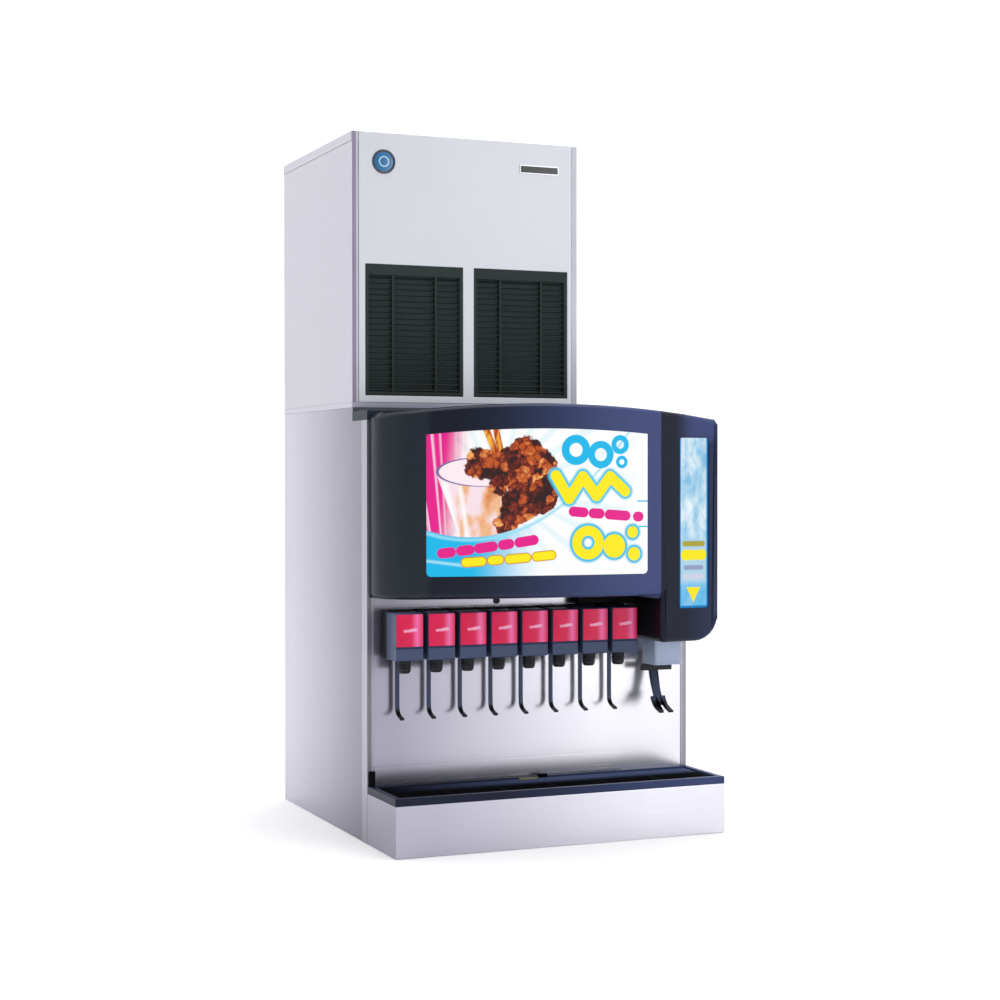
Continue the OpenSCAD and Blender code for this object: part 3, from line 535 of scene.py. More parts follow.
# Cup rest: the paler blue at the rear right is painted light
rest_black = rest_face("rest_black", srgb(6, 7, 11), srgb(96, 109, 150))
stop_black = moulded("stop_black", (6, 7, 11), 0.7, shine=0.1)
grille_black = moulded("grille_black", (38, 49, 47), 0.5, shine=0.2)
screen_black = moulded("screen_black", (58, 68, 68), 0.7, grain=160, depth=0.3, shine=0.3)
lid_plastic = moulded("lid_plastic", (44, 48, 58), 0.45)
pipe_plastic = moulded("pipe_plastic", (222, 222, 214), 0.4)
olive_plastic = moulded("olive_plastic", (120, 122, 70), 0.45)
plate_black = moulded("plate_black", (20, 20, 24), 0.22, coat=0.5)
badge_ring = moulded("badge_ring", (20, 34, 48), 0.2, coat=0.6)
badge_blue = moulded("badge_blue", (16, 104, 156), 0.16, coat=0.8)
badge_pale = moulded("badge_pale", (190, 214, 226), 0.2, coat=0.6)
bright_steel = brushed("bright_steel", (214, 216, 220), 0.18, grain="x")
lock_metal = cast("lock_metal", (54, 54, 60), 0.34)
motor_grey = cast("motor_grey", (86, 90, 98), 0.5, metal=0.3)


class Print(Look):
    """A backlit printed sheet, drawn with shapes in millimetres across X and up Z."""

    def __init__(self, name, x0, z0, glow, shine=0.08):
        super().__init__(name, rough=0.12, shine=shine)
        self.x = self.less(self.axis("X"), x0)
        self.z = self.less(self.axis("Z"), z0)
        self.picture = WHITE
        self.set("Base Color", (0.02, 0.02, 0.02, 1))
        self.set("Emission Strength", glow)

    def length(self, a, b):
        """Length of a line with two sides."""
        return self.calc("SQRT", self.plus(self.times(a, a), self.times(b, b)))

    def disc(self, x, z, r):
        """Distance outside a disc."""
        return self.less(self.length(self.less(self.x, x), self.less(self.z, z)), r)

    def ring(self, x, z, r, half):
        """Distance outside a ring of a mean radius and half width."""
        return self.less(self.distance(self.disc(x, z, r)), half)

    def pill(self, x0, z0, x1, z1, r):
        """Distance outside a round-ended bar between two points."""
        long = (x1 - x0) ** 2 + (z1 - z0) ** 2
        dx = self.less(self.x, x0)
        dz = self.less(self.z, z0)
        along = self.times(dx, (x1 - x0) / long)
        share = self.calc("MULTIPLY_ADD", dz, (z1 - z0) / long, along, clamp=True)
        ex = self.calc("MULTIPLY_ADD", share, x0 - x1, dx)
        ez = self.calc("MULTIPLY_ADD", share, z0 - z1, dz)
        return self.less(self.length(ex, ez), r)

    def bearing(self, x, z):
        """Angle around a point, in radians."""
        return self.calc("ARCTAN2", self.less(self.z, z), self.less(self.x, x))

    def streaks(self, angle, scale):
        """Noise that runs out from a point."""
        node = self.tree.nodes.new("ShaderNodeTexNoise")
        node.noise_dimensions = "1D"
        self.put(node.inputs["W"], angle)
        node.inputs["Scale"].default_value = scale
        node.inputs["Detail"].default_value = 3
        return node.outputs["Fac"]

    def either(self, shapes):
        """Distance outside the nearest of several shapes."""
        near = shapes[0]
        for shape in shapes[1:]:
            near = self.calc("MINIMUM", near, shape)
        return near

    def wash(self, share, colour):
        """Blends a colour into the picture."""
        self.picture = self.blend(share, self.picture, colour)

    def inside(self, distance, edge=0.7):
        """1 inside a shape, 0 outside it."""
        return self.remap(distance, edge, -edge, smooth=True)

    def over(self, below, distance, colour, edge=0.7):
        """A shape over what is below it."""
        return self.blend(self.inside(distance, edge), below, colour)

    def paint(self, distance, colour, edge=0.7):
        """Adds a shape to the picture."""
        self.wash(self.inside(distance, edge), colour)


FIRST_VALVE, VALVE_PITCH = -329, 73
CYAN = srgb(0, 186, 236)
PALE = srgb(196, 238, 250)
YELLOW = srgb(255, 236, 0)
MAGENTA = srgb(232, 20, 140)

# Shapes of the poster, in millimetres from its lower left corner
HEAP = [
    (116, 243, 35), (214, 264, 38), (252, 240, 34), (209, 216, 44), (163, 228, 36), (176, 252, 24),
    (244, 174, 44), (196, 150, 38), (172, 112, 26), (152, 196, 22), (268, 204, 26), (230, 205, 34),
]
LOW_DASHES = [
    (34, 50, 52, 52), (74, 55, 92, 57), (112, 60, 142, 64), (164, 67, 178, 69), (200, 72, 232, 77),
]
BOTTOM_DASHES = [(84, 30, 118, 32), (140, 34, 156, 35), (178, 36, 216, 39), (238, 41, 272, 44)]
RINGS = [(328, 272, 24, 9), (386, 262, 22, 8), (432, 284, 15, 6), (436, 246, 10, 4)]
WAVE = [(282, 216), (312, 166), (344, 214), (376, 172), (408, 214), (444, 182)]
SIDE_DASHES = [(322, 138, 346, 136), (368, 134, 384, 133), (406, 131, 446, 128), (474, 126, 478, 126)]
DOTS = [(418, 62, 26), (462, 92, 13), (466, 44, 15)]


def drink_poster():
    """A glass of crushed ice and cola on streaks and a swoosh, with plain dots and dashes."""
    art = Print("graphic_main", -293, 583, 0.97)
    # White with faint rays that fade at the border, and pink streaks behind the glass
    rays = art.remap(art.calc("SINE", art.times(art.bearing(150, 190), 26)), 0.1, 0.9)
    border = art.calc("MINIMUM", art.less(499, art.x), art.z)
    rays = art.times(rays, art.remap(border, 6, 70, 0, 0.4))
    art.wash(rays, PALE)
    streak = art.streaks(art.bearing(60, -240), 42)
    pink = art.blend(art.remap(streak, 0.54, 0.74), MAGENTA, srgb(252, 206, 230))
    lean = art.calc("MULTIPLY_ADD", art.z, -0.1, art.x)
    art.wash(art.remap(lean, 10, 72, 1, 0, smooth=True), pink)
    # The glass: sides that lean in, a peach drink and pale reflections
    half = art.calc("MULTIPLY_ADD", art.z, 0.36, 21)
    across = art.less(art.x, 122)
    wall = art.less(art.distance(across), half)
    body = art.calc("MAXIMUM", wall, art.less(art.z, 222))
    swirl = art.calc("MULTIPLY_ADD", across, 0.0016, art.noise((26, 26, 14), detail=4))
    drink = art.blend(art.remap(swirl, 0.44, 0.56), srgb(250, 226, 234), srgb(244, 186, 140))
    drink = art.blend(art.remap(swirl, 0.58, 0.72), drink, srgb(216, 120, 52))
    drink = art.over(drink, art.pill(66, 84, 40, 196, 6), WHITE, edge=6)
    drink = art.over(drink, art.pill(88, 80, 72, 190, 4), WHITE, edge=6)
    art.paint(body, drink, edge=1.5)
    # Its mouth: an ellipse with a thin violet lip
    ex = art.calc("DIVIDE", across, 98)
    ez = art.calc("DIVIDE", art.less(art.z, 224), 31)
    mouth = art.times(art.less(art.length(ex, ez), 1), 40)
    art.paint(mouth, srgb(253, 238, 244), edge=1.5)
    lip = art.less(art.distance(mouth), 1.3)
    lip_share = art.times(art.inside(lip, 1.0), art.remap(art.x, 90, 180, 1, 0.3))
    art.wash(lip_share, srgb(112, 92, 158))
    # The heap of crushed ice soaked with cola, and the pour
    heap = art.either([art.disc(*spot) for spot in HEAP])
    ragged = art.times(art.less(art.noise((44, 44, 44), detail=2), 0.5), 32)
    heap = art.plus(heap, ragged)
    tone = art.times(art.cells((48, 48, 48), "Color", warp=1.1), 0.62)
    tone = art.plus(tone, art.times(art.noise((90, 90, 90), detail=3), 0.5))
    gap = art.remap(art.cells((48, 48, 48), "Distance", "DISTANCE_TO_EDGE", warp=1.1), 0, 0.14, -0.16, 0)
    low = art.remap(art.z, 160, 90, 0, 0.12)
    tone = art.plus(art.plus(tone, gap), low)
    ice = art.blend(art.remap(tone, 0.36, 0.5), srgb(42, 9, 8), srgb(112, 28, 12))
    ice = art.blend(art.remap(tone, 0.52, 0.66), ice, srgb(194, 84, 24))
    ice = art.blend(art.remap(tone, 0.7, 0.84), ice, srgb(248, 178, 104))
    pour = art.either([art.pill(122, 330, 150, 262, 7), art.pill(146, 330, 160, 264, 7)])
    amber = art.remap(art.noise((120, 30, 30)), 0.42, 0.6)
    art.paint(pour, art.blend(amber, srgb(255, 178, 50), srgb(176, 56, 14)), edge=1.5)
    art.paint(heap, ice, edge=2)
    # The swoosh under the picture: cyan at the left, fading into white
    bow = art.less(art.x, 93)
    curve = art.calc("MULTIPLY_ADD", art.times(bow, bow), 0.0018, 84)
    under = art.less(art.z, curve)
    sweep = art.blend(art.remap(art.x, 90, 270, smooth=True), CYAN, art.blend(rays, WHITE, PALE))
    sweep = art.over(sweep, art.pill(0, 34, 90, 22, 2), srgb(190, 238, 250), edge=4)
    rim = art.less(art.distance(art.plus(under, 6)), 3)
    art.paint(under, sweep, edge=1.2)
    art.paint(rim, srgb(150, 226, 246), edge=4)
    # Plain dashes along the bottom left
    art.paint(art.either([art.pill(*d, 11) for d in LOW_DASHES]), MAGENTA)
    yellow = art.either([art.pill(*d, 9) for d in BOTTOM_DASHES])
    art.paint(art.less(yellow, 2), srgb(210, 130, 40))
    art.paint(yellow, YELLOW)
    # Rings and dots in place of the slogan
    art.paint(art.either([art.ring(*r) for r in RINGS]), CYAN)
    crest = art.either([art.pill(*a, *b, 12) for a, b in zip(WAVE, WAVE[1:])])
    art.paint(art.less(crest, 6), srgb(70, 200, 236), edge=4)
    art.paint(crest, YELLOW)
    art.paint(art.either([art.pill(*d, 11) for d in SIDE_DASHES]), MAGENTA)
    dots = art.either([art.ring(356, 70, 26, 11)] + [art.disc(*d) for d in DOTS])
    art.paint(art.less(dots, 6), srgb(40, 190, 234), edge=4)
    art.paint(dots, YELLOW)
    lines = [(474, 160, 520, 160), (478, 104, 520, 104)]
    art.paint(art.either([art.pill(*d, 1.5) for d in lines]), CYAN)
    art.set("Emission Color", art.picture)
    return art.material


def ice_poster():
    """Pale ice that turns bluer downwards, with a plain bar and an arrow to the chute."""
    art = Print("graphic_ice", 286, 504, 0.95)
    frost = art.noise((34, 34, 16), detail=5, rough=0.6)
    chips = art.cells((46, 46, 30), feature="SMOOTH_F1")
    pale = art.blend(art.remap(frost, 0.38, 0.6), srgb(136, 198, 234), srgb(238, 250, 255))
    pale = art.blend(art.remap(chips, 0.35, 0.7, 0, 0.45), pale, srgb(120, 190, 226))
    blue = art.remap(art.z, 210, 0, 0, 0.75, smooth=True)
    art.picture = art.blend(blue, pale, srgb(64, 184, 238))
    haze = art.calc("MAXIMUM", art.less(art.z, 152), art.less(56, art.z))
    art.paint(haze, srgb(176, 216, 236), edge=6)
    art.paint(art.pill(14, 143, 61, 143, 6), srgb(176, 164, 60))
    bars = [(16, 118, 24, 118, 12), (38, 118, 38.5, 118, 12), (54, 118, 60, 118, 12)]
    art.paint(art.either([art.pill(*bar) for bar in bars]), YELLOW)
    art.paint(art.pill(16, 90, 58, 90, 5), srgb(150, 160, 200))
    art.paint(art.pill(16, 70, 58, 70, 7), srgb(206, 214, 234))
    # The arrow: inside two slanted sides and under a flat top
    across = art.distance(art.less(art.x, 37))
    slant = art.less(art.calc("MULTIPLY_ADD", across, 1.9, 12), art.z)
    arrow = art.calc("MAXIMUM", slant, art.less(art.z, 46))
    art.paint(arrow, YELLOW, edge=1.2)
    side = art.less(33.5, art.distance(art.less(art.x, 37.5)))
    border = art.calc("MINIMUM", side, art.less(art.z, 5))
    art.paint(border, srgb(0, 124, 200), edge=1.5)
    art.set("Emission Color", art.picture)
    return art.material


def card_print():
    """Crimson flavour card with a pale blank dash and a painted highlight band."""
    art = Print("label_card", FIRST_VALVE, 469, 0.0, shine=0.3)
    half = VALVE_PITCH / 2
    art.x = art.less(art.calc("FLOORED_MODULO", art.plus(art.x, half), VALVE_PITCH), half)
    red = art.blend(art.remap(art.noise((30, 30, 30)), 0.3, 0.7), srgb(208, 14, 70), srgb(220, 20, 80))
    # A lighter pink band down the right part of each card: a painted highlight
    painted_highlight = art.less(art.distance(art.less(art.x, 16)), 6)
    red = art.blend(art.inside(painted_highlight, 9), red, srgb(240, 104, 166))
    dash = art.either([art.pill(-12, -1, 14, 1, 2.2), art.pill(0, 0, 12, 2, 3)])
    art.set("Base Color", art.over(red, dash, srgb(240, 172, 204), edge=2.2))
    art.set("Roughness", 0.24)
    return art.material


# ---- bonnet ----

# Radius and centre of the curved face in plan; radius, middle and crest of the arched top
FACE_R, FACE_X, FACE_Y = 2000, 199, 1608
ARCH_R, ARCH_X, ARCH_TOP = 2600, -21, 956
LEFT, RIGHT = -385, 391
BACK = -225.5
MAIN_Z, ICE_Z, ICE_X = 534, 429, 239
WINDOW = (-293, 206, 583, 55)  # left, right, bottom, drop below the arch
ICE_WINDOW = (286, 361, 504, 883)  # left, right, bottom, top
SHELL = 4
AHEAD = -420  # Y in front of the whole bonnet, where its cutters start


def face_y(x, depth=0.0):
    """Y of the bonnet's curved face, or of a surface some depth behind it."""
    return FACE_Y - sqrt((FACE_R - depth) ** 2 - (x - FACE_X) ** 2)


def arch_z(x, drop=0.0):
    """Height of the arched top, or of a curve below it."""
    return ARCH_TOP - ARCH_R + sqrt((ARCH_R - drop) ** 2 - (x - ARCH_X) ** 2)


def bonnet_plan(inset, back):
    """Plan outline: a wide left corner, the curved face and a tight right corner."""
    wide, tight = 100, 16
    lx, rx = LEFT + wide, RIGHT - tight
    ly = FACE_Y - sqrt((FACE_R - wide) ** 2 - (FACE_X - lx) ** 2)
    ry = FACE_Y - sqrt((FACE_R - tight) ** 2 - (rx - FACE_X) ** 2)
    a0 = 360 + degrees(atan2(ly - FACE_Y, lx - FACE_X))
    a1 = 360 + degrees(atan2(ry - FACE_Y, rx - FACE_X))
    return (
        arc(lx, ly, wide - inset, 180, a0, 20)
        + arc(FACE_X, FACE_Y, FACE_R - inset, a0, a1, 44)[1:-1]
        + arc(rx, ry, tight - inset, a1, 360, 12)
        + [(RIGHT - inset, back), (LEFT + inset, back)]
    )


def under_arch(x, r):
    """Centre height of a corner that touches the arch from below, and the angle where it does."""
    z = arch_z(x, r)
    return z, degrees(atan2(z - ARCH_TOP + ARCH_R, x - ARCH_X))


def bonnet_front(inset):
    """Front outline: an arched top and a deeper ice housing with one round corner."""
    low, top = 62, 16
    right_z, right_turn = under_arch(RIGHT - top, top)
    left_z, left_turn = under_arch(LEFT + top, top)
    return (
        [(LEFT + inset, MAIN_Z + inset), (ICE_X + inset, MAIN_Z + inset)]
        + [(ICE_X + inset, ICE_Z + inset)]
        + arc(RIGHT - low, ICE_Z + low, low - inset, 270, 360, 14)
        + arc(RIGHT - top, right_z, top - inset, 0, right_turn, 7)
        + [(x, arch_z(x, inset)) for x in range(RIGHT - 38, LEFT + 30, -24)]
        + arc(LEFT + top, left_z, top - inset, left_turn, 180, 7)
    )


def window_outline():
    """Main window under the arch, with rounded lower corners."""
    x0, x1, z0, drop = WINDOW
    r, n = 10, 24
    top = [x1 + (x0 - x1) * i / n for i in range(n + 1)]
    return (
        arc(x0 + r, z0 + r, r, 180, 270, 6)
        + arc(x1 - r, z0 + r, r, 270, 360, 6)
        + [(x, arch_z(x, drop)) for x in top]
    )


def bonnet_shape(inset, back):
    """Solid bonnet, set in from its outer surface."""
    upright = prism(bonnet_plan(inset, back), "z", 400, 1000)
    return combined(upright, prism(bonnet_front(inset), "y", AHEAD, back), "INTERSECT")


def on_face(edge, low, high):
    """Whether an edge lies on the curved face, inside an X and Z range."""
    at = middle(edge)
    inside = low[0] < at.x < high[0] and low[1] < at.z < high[1]
    return inside and abs(at.y - face_y(at.x)) < 0.7


def key(edge):
    """An edge's place, coarse enough to find it again after a boolean."""
    return tuple(round(c, 1) for c in middle(edge))


def bonnet():
    """The moulded shell: rolled edges, two windows and the chute opening."""
    outer = bonnet_shape(0, BACK)
    rims = {
        key(e)
        for e in outer.edges
        if e.calc_face_angle(0) > radians(35) and min(v.co.y for v in e.verts) < BACK - 0.1
    }
    skin = BVHTree.FromBMesh(outer)
    x0, x1, z0, z1 = ICE_WINDOW
    window = prism(window_outline(), "y", AHEAD, -288)
    pane = soften(block(x0, x1, AHEAD, -340, z0, z1), 5, 4, pick=lambda e: reach(e, "y") > 1)
    chute_way = block(252, 322, -334, -264, ICE_Z - 2, ICE_Z + 10)
    shell = outer
    for hollow in (bonnet_shape(SHELL, BACK + 3), window, pane, chute_way):
        shell = combined(shell, hollow, "DIFFERENCE")
    soften(shell, 12, 7, pick=lambda e: key(e) in rims)
    soften(shell, 1.6, 3, angle=50, pick=lambda e: on_face(e, (-296, 580), (209, 903)))
    soften(shell, 1.2, 3, angle=50, pick=lambda e: on_face(e, (284, 500), (363, 886)))
    for face in shell.faces:
        depth = skin.find_nearest(face.calc_center_median())[3]
        face.material_index = int(depth > SHELL - 0.2)
    return shell


def bonnet_cap():
    """Shallow channel along the top rear edge, rounded everywhere but at its open back."""
    half, front, back, low, top, wall = 390.5, -227.5, -125, 920, 942, 4

    def rolled(edge):
        """Whether an edge is neither at the open back nor along the foot."""
        at = middle(edge)
        return at.y < back - 1 and (at.z > low + 1 or reach(edge, "z") > 1)

    cap = soften(block(-half, half, front, back, low, top), 4, 4, pick=rolled)
    hollow = block(wall - half, half - wall, front + wall, back + 5, low - 10, top - wall)
    return combined(cap, hollow, "DIFFERENCE")


build("bonnet_shell", bonnet(), [bonnet_plastic, inner_plastic], ["bonnet"])
build("bonnet_cap", bonnet_cap(), [cap_plastic])
# A black block above the last two valves, under the bonnet, that makes that area dark
dark_block = soften(block(97, 238, -262, -226.5, 510.5, 533), 1.5, 3)
build("outlet_dark_block", dark_block, [inner_plastic])


def curved_sheet(x0, x1, z0, z1, columns=40):
    """Sheet that follows the bonnet's face just behind the shell."""
    near, far = SHELL + 0.2, SHELL + 3.2
    steps = [x0 + (x1 - x0) * i / columns for i in range(columns + 1)]
    outline = [(x, face_y(x, near)) for x in steps] + [(x, face_y(x, far)) for x in reversed(steps)]
    return prism(outline, "z", z0, z1)


sheet = curved_sheet(-299, 212, 577, 903)
build("drink_poster", sheet, [drink_poster()], ["main_graphic"])
sheet = curved_sheet(283, 363, 498, 889, 8)
build("ice_poster", sheet, [ice_poster()], ["ice_graphic"])


# ---- drink valves ----

VALVES = [FIRST_VALVE + VALVE_PITCH * i for i in range(8)]


def rounded(points, rounds=3):
    """Open line with its corners cut again and again until they are smooth."""
    for _ in range(rounds):
        cut = [points[0]]
        for a, b in zip(points, points[1:]):
            cut.append((a[0] * 0.75 + b[0] * 0.25, a[1] * 0.75 + b[1] * 0.25))
            cut.append((a[0] * 0.25 + b[0] * 0.75, a[1] * 0.25 + b[1] * 0.75))
        points = cut + [points[-1]]
    return points


def ribbon(points, half):
    """Outline of a strip along an open line; half gives its half thickness at each share of it."""
    sides = []
    for i, at in enumerate(points):
        a, b = points[max(i - 1, 0)], points[min(i + 1, len(points) - 1)]
        step = Vector((b[0] - a[0], b[1] - a[1])).normalized()
        t = half(i / (len(points) - 1))
        sides.append(((at[0] - step.y * t, at[1] + step.x * t), (at[0] + step.y * t, at[1] - step.x * t)))
    return [s[0] for s in sides] + [s[1] for s in reversed(sides)]


def valve_cover(x):
    """Moulded cover with a rolled nose and a lower lip, a narrower slotted body and a collar."""
    y0, y1, z0, z1 = -324, -262, 404, 506
    profile = (
        [(y1, z0), (y1, z1), (y0 + 8, z1)]
        + arc(y0 + 8, z1 - 8, 8, 90, 180, 6)[1:]
        + [(y0, z0 + 29.5), (y0 + 1.2, z0 + 29), (y0 + 1.2, z0 + 27.5), (y0 - 0.6, z0 + 26.5)]
        + arc(y0 + 3.4, z0 + 4, 4, 180, 270, 5)
    )
    cover = soften(prism(profile, "x", x - 31, x + 31), 2.2, 4, angle=60)
    body = soften(block(x - 29, x + 29, y1 - 2, -236, z0 + 0.5, z1 + 3), 1.5, 2)
    slot = block(x - 6, x + 6, -252, -230, z0 - 3, z0 + 20)
    body = tagged(combined(body, slot, "DIFFERENCE"), 1)
    collar = tagged(moved(turned([(17, z0 - 2.5), (18.5, z0 - 1), (18.5, z0 + 1)]), x, -289), 1)
    return joined(cover, body, collar)


def card(x):
    """Slightly crowned flavour card."""
    half, n = 30, 14
    front = [half * (2 * i / n - 1) for i in range(n + 1)]
    plan = [(x + u, -325.3 - 1.5 * (1 - (u / half) ** 2)) for u in front]
    plan += [(x + half, -323.4), (x - half, -323.4)]
    return soften(prism(plan, "z", 434.5, 503.5), 0.5, 2, angle=50)


def nozzle(x):
    """Stepped nozzle with two grip rings and a diffuser recess."""
    profile = [
        (7.5, 378), (8.2, 375.4), (10.6, 375), (13.2, 378), (14.4, 383), (14.9, 386), (14.2, 387),
        (14.2, 389), (15, 390), (15, 393), (14.2, 394), (14.2, 396), (15, 397), (15, 404),
    ]
    return moved(turned(profile, 36), x, -289)


def block_behind(x):
    """Mounting block with a stepped flange against the splash plate."""
    inner = soften(block(x - 20, x + 20, -236, -226, 420, 495), 1, 2)
    flange = soften(block(x - 20, x + 20, -228.5, -225, 420, 495), 0.8, 2)
    return joined(inner, flange)


VALVE_PARTS = [
    ("valve_covers", valve_cover, [valve_plastic, valve_back], "valve_plastic", "valve_housings"),
    ("flavour_cards", card, [card_print()], "label_card", "valve_labels"),
    ("drink_nozzles", nozzle, [nozzle_black], "nozzle_black", "nozzles"),
    ("valve_blocks", block_behind, [block_black], "block_black", "mounting_blocks"),
]
for name, shape, materials, slot, node in VALVE_PARTS:
    build(name, joined(*[shape(x) for x in VALVES]), materials, [node])


def pivot_eye(bore, r, half, edge, segments, place):
    """Boss of a lever round its pin, along X, with its corners taken off."""
    side = [(r, edge - half), (r, half - edge)]
    profile = [(bore, -half), (r - edge, -half), *side, (r - edge, half), (bore, half)]
    return moved(turned(profile, segments), *place, turn=(90, "Y"))


def dark_below(bm, level):
    """Second material on the faces below a height."""
    for face in bm.faces:
        face.material_index = int(face.calc_center_median().z < level)
    return bm


def cup_lever(x):
    """Drink lever: an eye on the pin, a thin blade and a hooked, thicker tip."""
    line = rounded([(-244, 413), (-244, 340), (-244, 296), (-247, 287), (-255, 280), (-277, 274)])
    blade = prism(ribbon(line, lambda t: 1.5 + 0.9 * max(0, t - 0.72) / 0.28), "x", x - 5, x + 5)
    blade = dark_below(soften(blade, 0.9, 3, angle=50), 292)
    return joined(blade, pivot_eye(2.2, 6, 5, 0.6, 24, (x, -244, 413)))


for i, x in enumerate(VALVES, 1):
    build(f"cup_lever_blade_{i}", cup_lever(x), [lever_plastic, lever_tip],
          [f"lever_{i}"], f"cup_lever_{i}")


# ---- ice outlet ----

OUTLET_X = 287


def ice_paddle():
    """Ice lever: an eye, a broad shank and a forked foot."""
    x = OUTLET_X
    line = rounded([(-254, 384), (-257, 345), (-284, 290), (-293, 279)])
    foot = rounded([(-281, 297), (-286, 288), (-296, 276), (-324, 266)])
    shank = prism(ribbon(line, lambda t: 2.5), "x", x - 10, x + 10)
    for side in (-1, 1):
        middle_x = x + side * 12
        prong = prism(ribbon(foot, lambda t: 3 - 0.7 * t), "x", middle_x - 6, middle_x + 6)
        shank = combined(shank, prong, "UNION")
    shank = dark_below(soften(shank, 0.9, 3, angle=50), 287)
    return joined(shank, pivot_eye(3.2, 7, 9, 0.8, 28, (x, -254, 384)))


build("ice_paddle_blade", ice_paddle(), [lever_plastic, lever_tip],
      ["ice_lever"], "ice_paddle")


def chute():
    """Square chute with soft corners, a lip, an elbow into the hopper and ears for the lever."""
    x, y, half, bore = OUTLET_X, -299, 33, 30

    def square(side, z0, z1, width, segments):
        """Upright bar on the chute's axis with rounded corners."""
        bar = block(x - side, x + side, y - side, y + side, z0, z1)
        return soften(bar, width, segments, pick=lambda e: reach(e, "z") > 3)

    tube = combined(square(half, 373, 703, 5, 4), square(half + 1, 373, 378, 5.5, 4), "UNION")
    tube = combined(tube, block(x - half, x + half, y, -180.2, 637, 703), "UNION")
    tube = combined(tube, square(bore, 360, 700, 3, 3), "DIFFERENCE")
    tube = combined(tube, block(x - bore, x + bore, y, -170, 640, 700), "DIFFERENCE")
    soften(tube, 0.8, 2, angle=60, pick=lambda e: middle(e).z < 374)
    ears = [soften(block(x + s * 12 - 2, x + s * 12 + 2, y + half - 1, -248, 377, 396), 0.8, 2)
            for s in (-1, 1)]
    return joined(tube, *ears)


build("ice_chute_tube", chute(), [chute_plastic], ["ice_chute"])
hinge_bar = soften(block(252, 330, -269, -260.5, 355, 369), 1.5, 3)
build("ice_hinge_bar", hinge_bar, [nozzle_black])


# ---- drip tray ----

finish_node("tray_basin", 2.2, [tray_black], 4, lambda e: middle(e).z > 109.5)
finish_node("cup_rest", 0.7, [rest_black], body="rest")

tab = soften(block(-40, 10, -250, -231, 119, 124.5), 1.5, 3)
build("rest_finger_pad", tab, [olive_plastic], body="rest")
stop = soften(block(-388, -374, -230, -225.2, 126.2, 158), 1.2, 3)
build("tray_end_stop", stop, [stop_black])


# ---- sheet metal of the two units ----

finish_node("splash_plate", 0.7, [splash_steel])
finish_node("cabinet_front", 0.6, [strip_steel])
for side in ("left", "right"):
    finish_node("cabinet_side_" + side, 0.7, [panel_steel])
finish_node("cabinet_rear", 0.6, [hidden_steel])
finish_node("cabinet_base", 2, [base_paint])
finish_node("cabinet_deck", 1.5, [deck_paint])
finish_node("hopper_lid", 1.5, [lid_plastic], 3, body="lid")
finish_node("machine_rear", 0.5, [hidden_steel])
finish_node("machine_front", 1.3, [machine_steel], 3)

FRONT, LEFTWARD = Vector((0, -1, 0)), Vector((-1, 0, 0))
finish_node("drip_tray", 1.6, [front_steel, apron_side_shaded_steel], way=LEFTWARD)
for side in ("left", "right"):
    finish_node("machine_side_" + side, 0.7, [machine_side_steel, edge_groove_shade], way=FRONT)
finish_node("machine_top", 1.4, [machine_side_steel, machine_steel], way=FRONT)
finish_node("corner_trims", 0.8, [trim_steel, trim_front], way=FRONT)
finish_node("machine_base", 1.5, [band_shade, machine_side_steel], way=LEFTWARD)


def grille(node):
    """Filter grille: a bevelled frame, round-nosed slats that tilt and two ribs."""
    (x0, y0, z0), (x1, y1, z1) = span(node)
    side, top, slats = 8, 24, 20
    opening = block(x0 + side, x1 - side, y0 - 1, y1 + 1, z0 + side, z1 - top)
    surround = combined(block(x0, x1, y0, y1, z0, z1), opening, "DIFFERENCE")
    parts = [soften(surround, 1.2, 3)]
    pitch = (z1 - z0 - side - top) / slats
    for i in range(slats):
        nose = arc(-4.2, 0, 0.8, 90, 270, 5) + arc(4.2, 0, 0.8, -90, 90, 5)
        slat = prism(nose, "x", x0 + side - 1, x1 - side + 1)
        parts.append(moved(slat, 0, (y0 + y1) / 2, z0 + side + (i + 0.5) * pitch, turn=(35, "X")))
    for share in (0.28, 0.72):
        x = x0 + (x1 - x0) * share
        parts.append(soften(block(x - 2.5, x + 2.5, y0 + 0.4, y1, z0 + side - 1, z1 - top + 1), 0.8, 2))
    return joined(*parts)


for side in ("left", "right"):
    node, filter_body = "grille_" + side, "filter_" + side
    build(f"grille_{side}_slats", grille(node), [grille_black], [node], filter_body)
    (x0, y0, z0), (x1, y1, z1) = span(node)
    screen = block(x0 + 6, x1 - 6, y1 - 1.1, y1 - 0.3, z0 + 6, z1 - 22)
    build(f"filter_screen_{side}", screen, [screen_black], body=filter_body)


# ---- badge, name plate and lock ----


def badge():
    """Plain domed badge: a dark rim, a blue field and a pale ring."""
    x, y, z = -316, -124, 1497
    rim = [(26.4, 0), (27, 0.5), (27, 1.4), (26, 2.1), (24, 2.1), (23.2, 1.5), (22, 1.2), (21, 1.0)]
    field = [(22, 0.6), (21.8, 1.2), (18, 1.55), (12, 1.8), (6, 1.95), (1, 2.0)]
    mark = [(9.4, 1.6), (9.4, 2.1), (10, 2.3), (11.4, 2.3), (12, 2.1), (12, 1.6)]
    parts = [tagged(turned(profile, 56), i) for i, profile in enumerate((rim, field, mark))]
    return moved(joined(*parts), x, y, z, turn=(90, "X"))


def blank_plate():
    """Name plate: a blank dark field in a bright rim."""
    (x0, y0, z0), (x1, y1, z1) = span("name_plate")
    rim = 2.4
    surround = tagged(soften(block(x0, x1, y0 + 0.4, y1, z0, z1), 0.7, 3), 1)
    field = soften(block(x0 + rim, x1 - rim, y0, y0 + 1, z0 + rim, z1 - rim), 0.5, 2)
    return joined(surround, field)


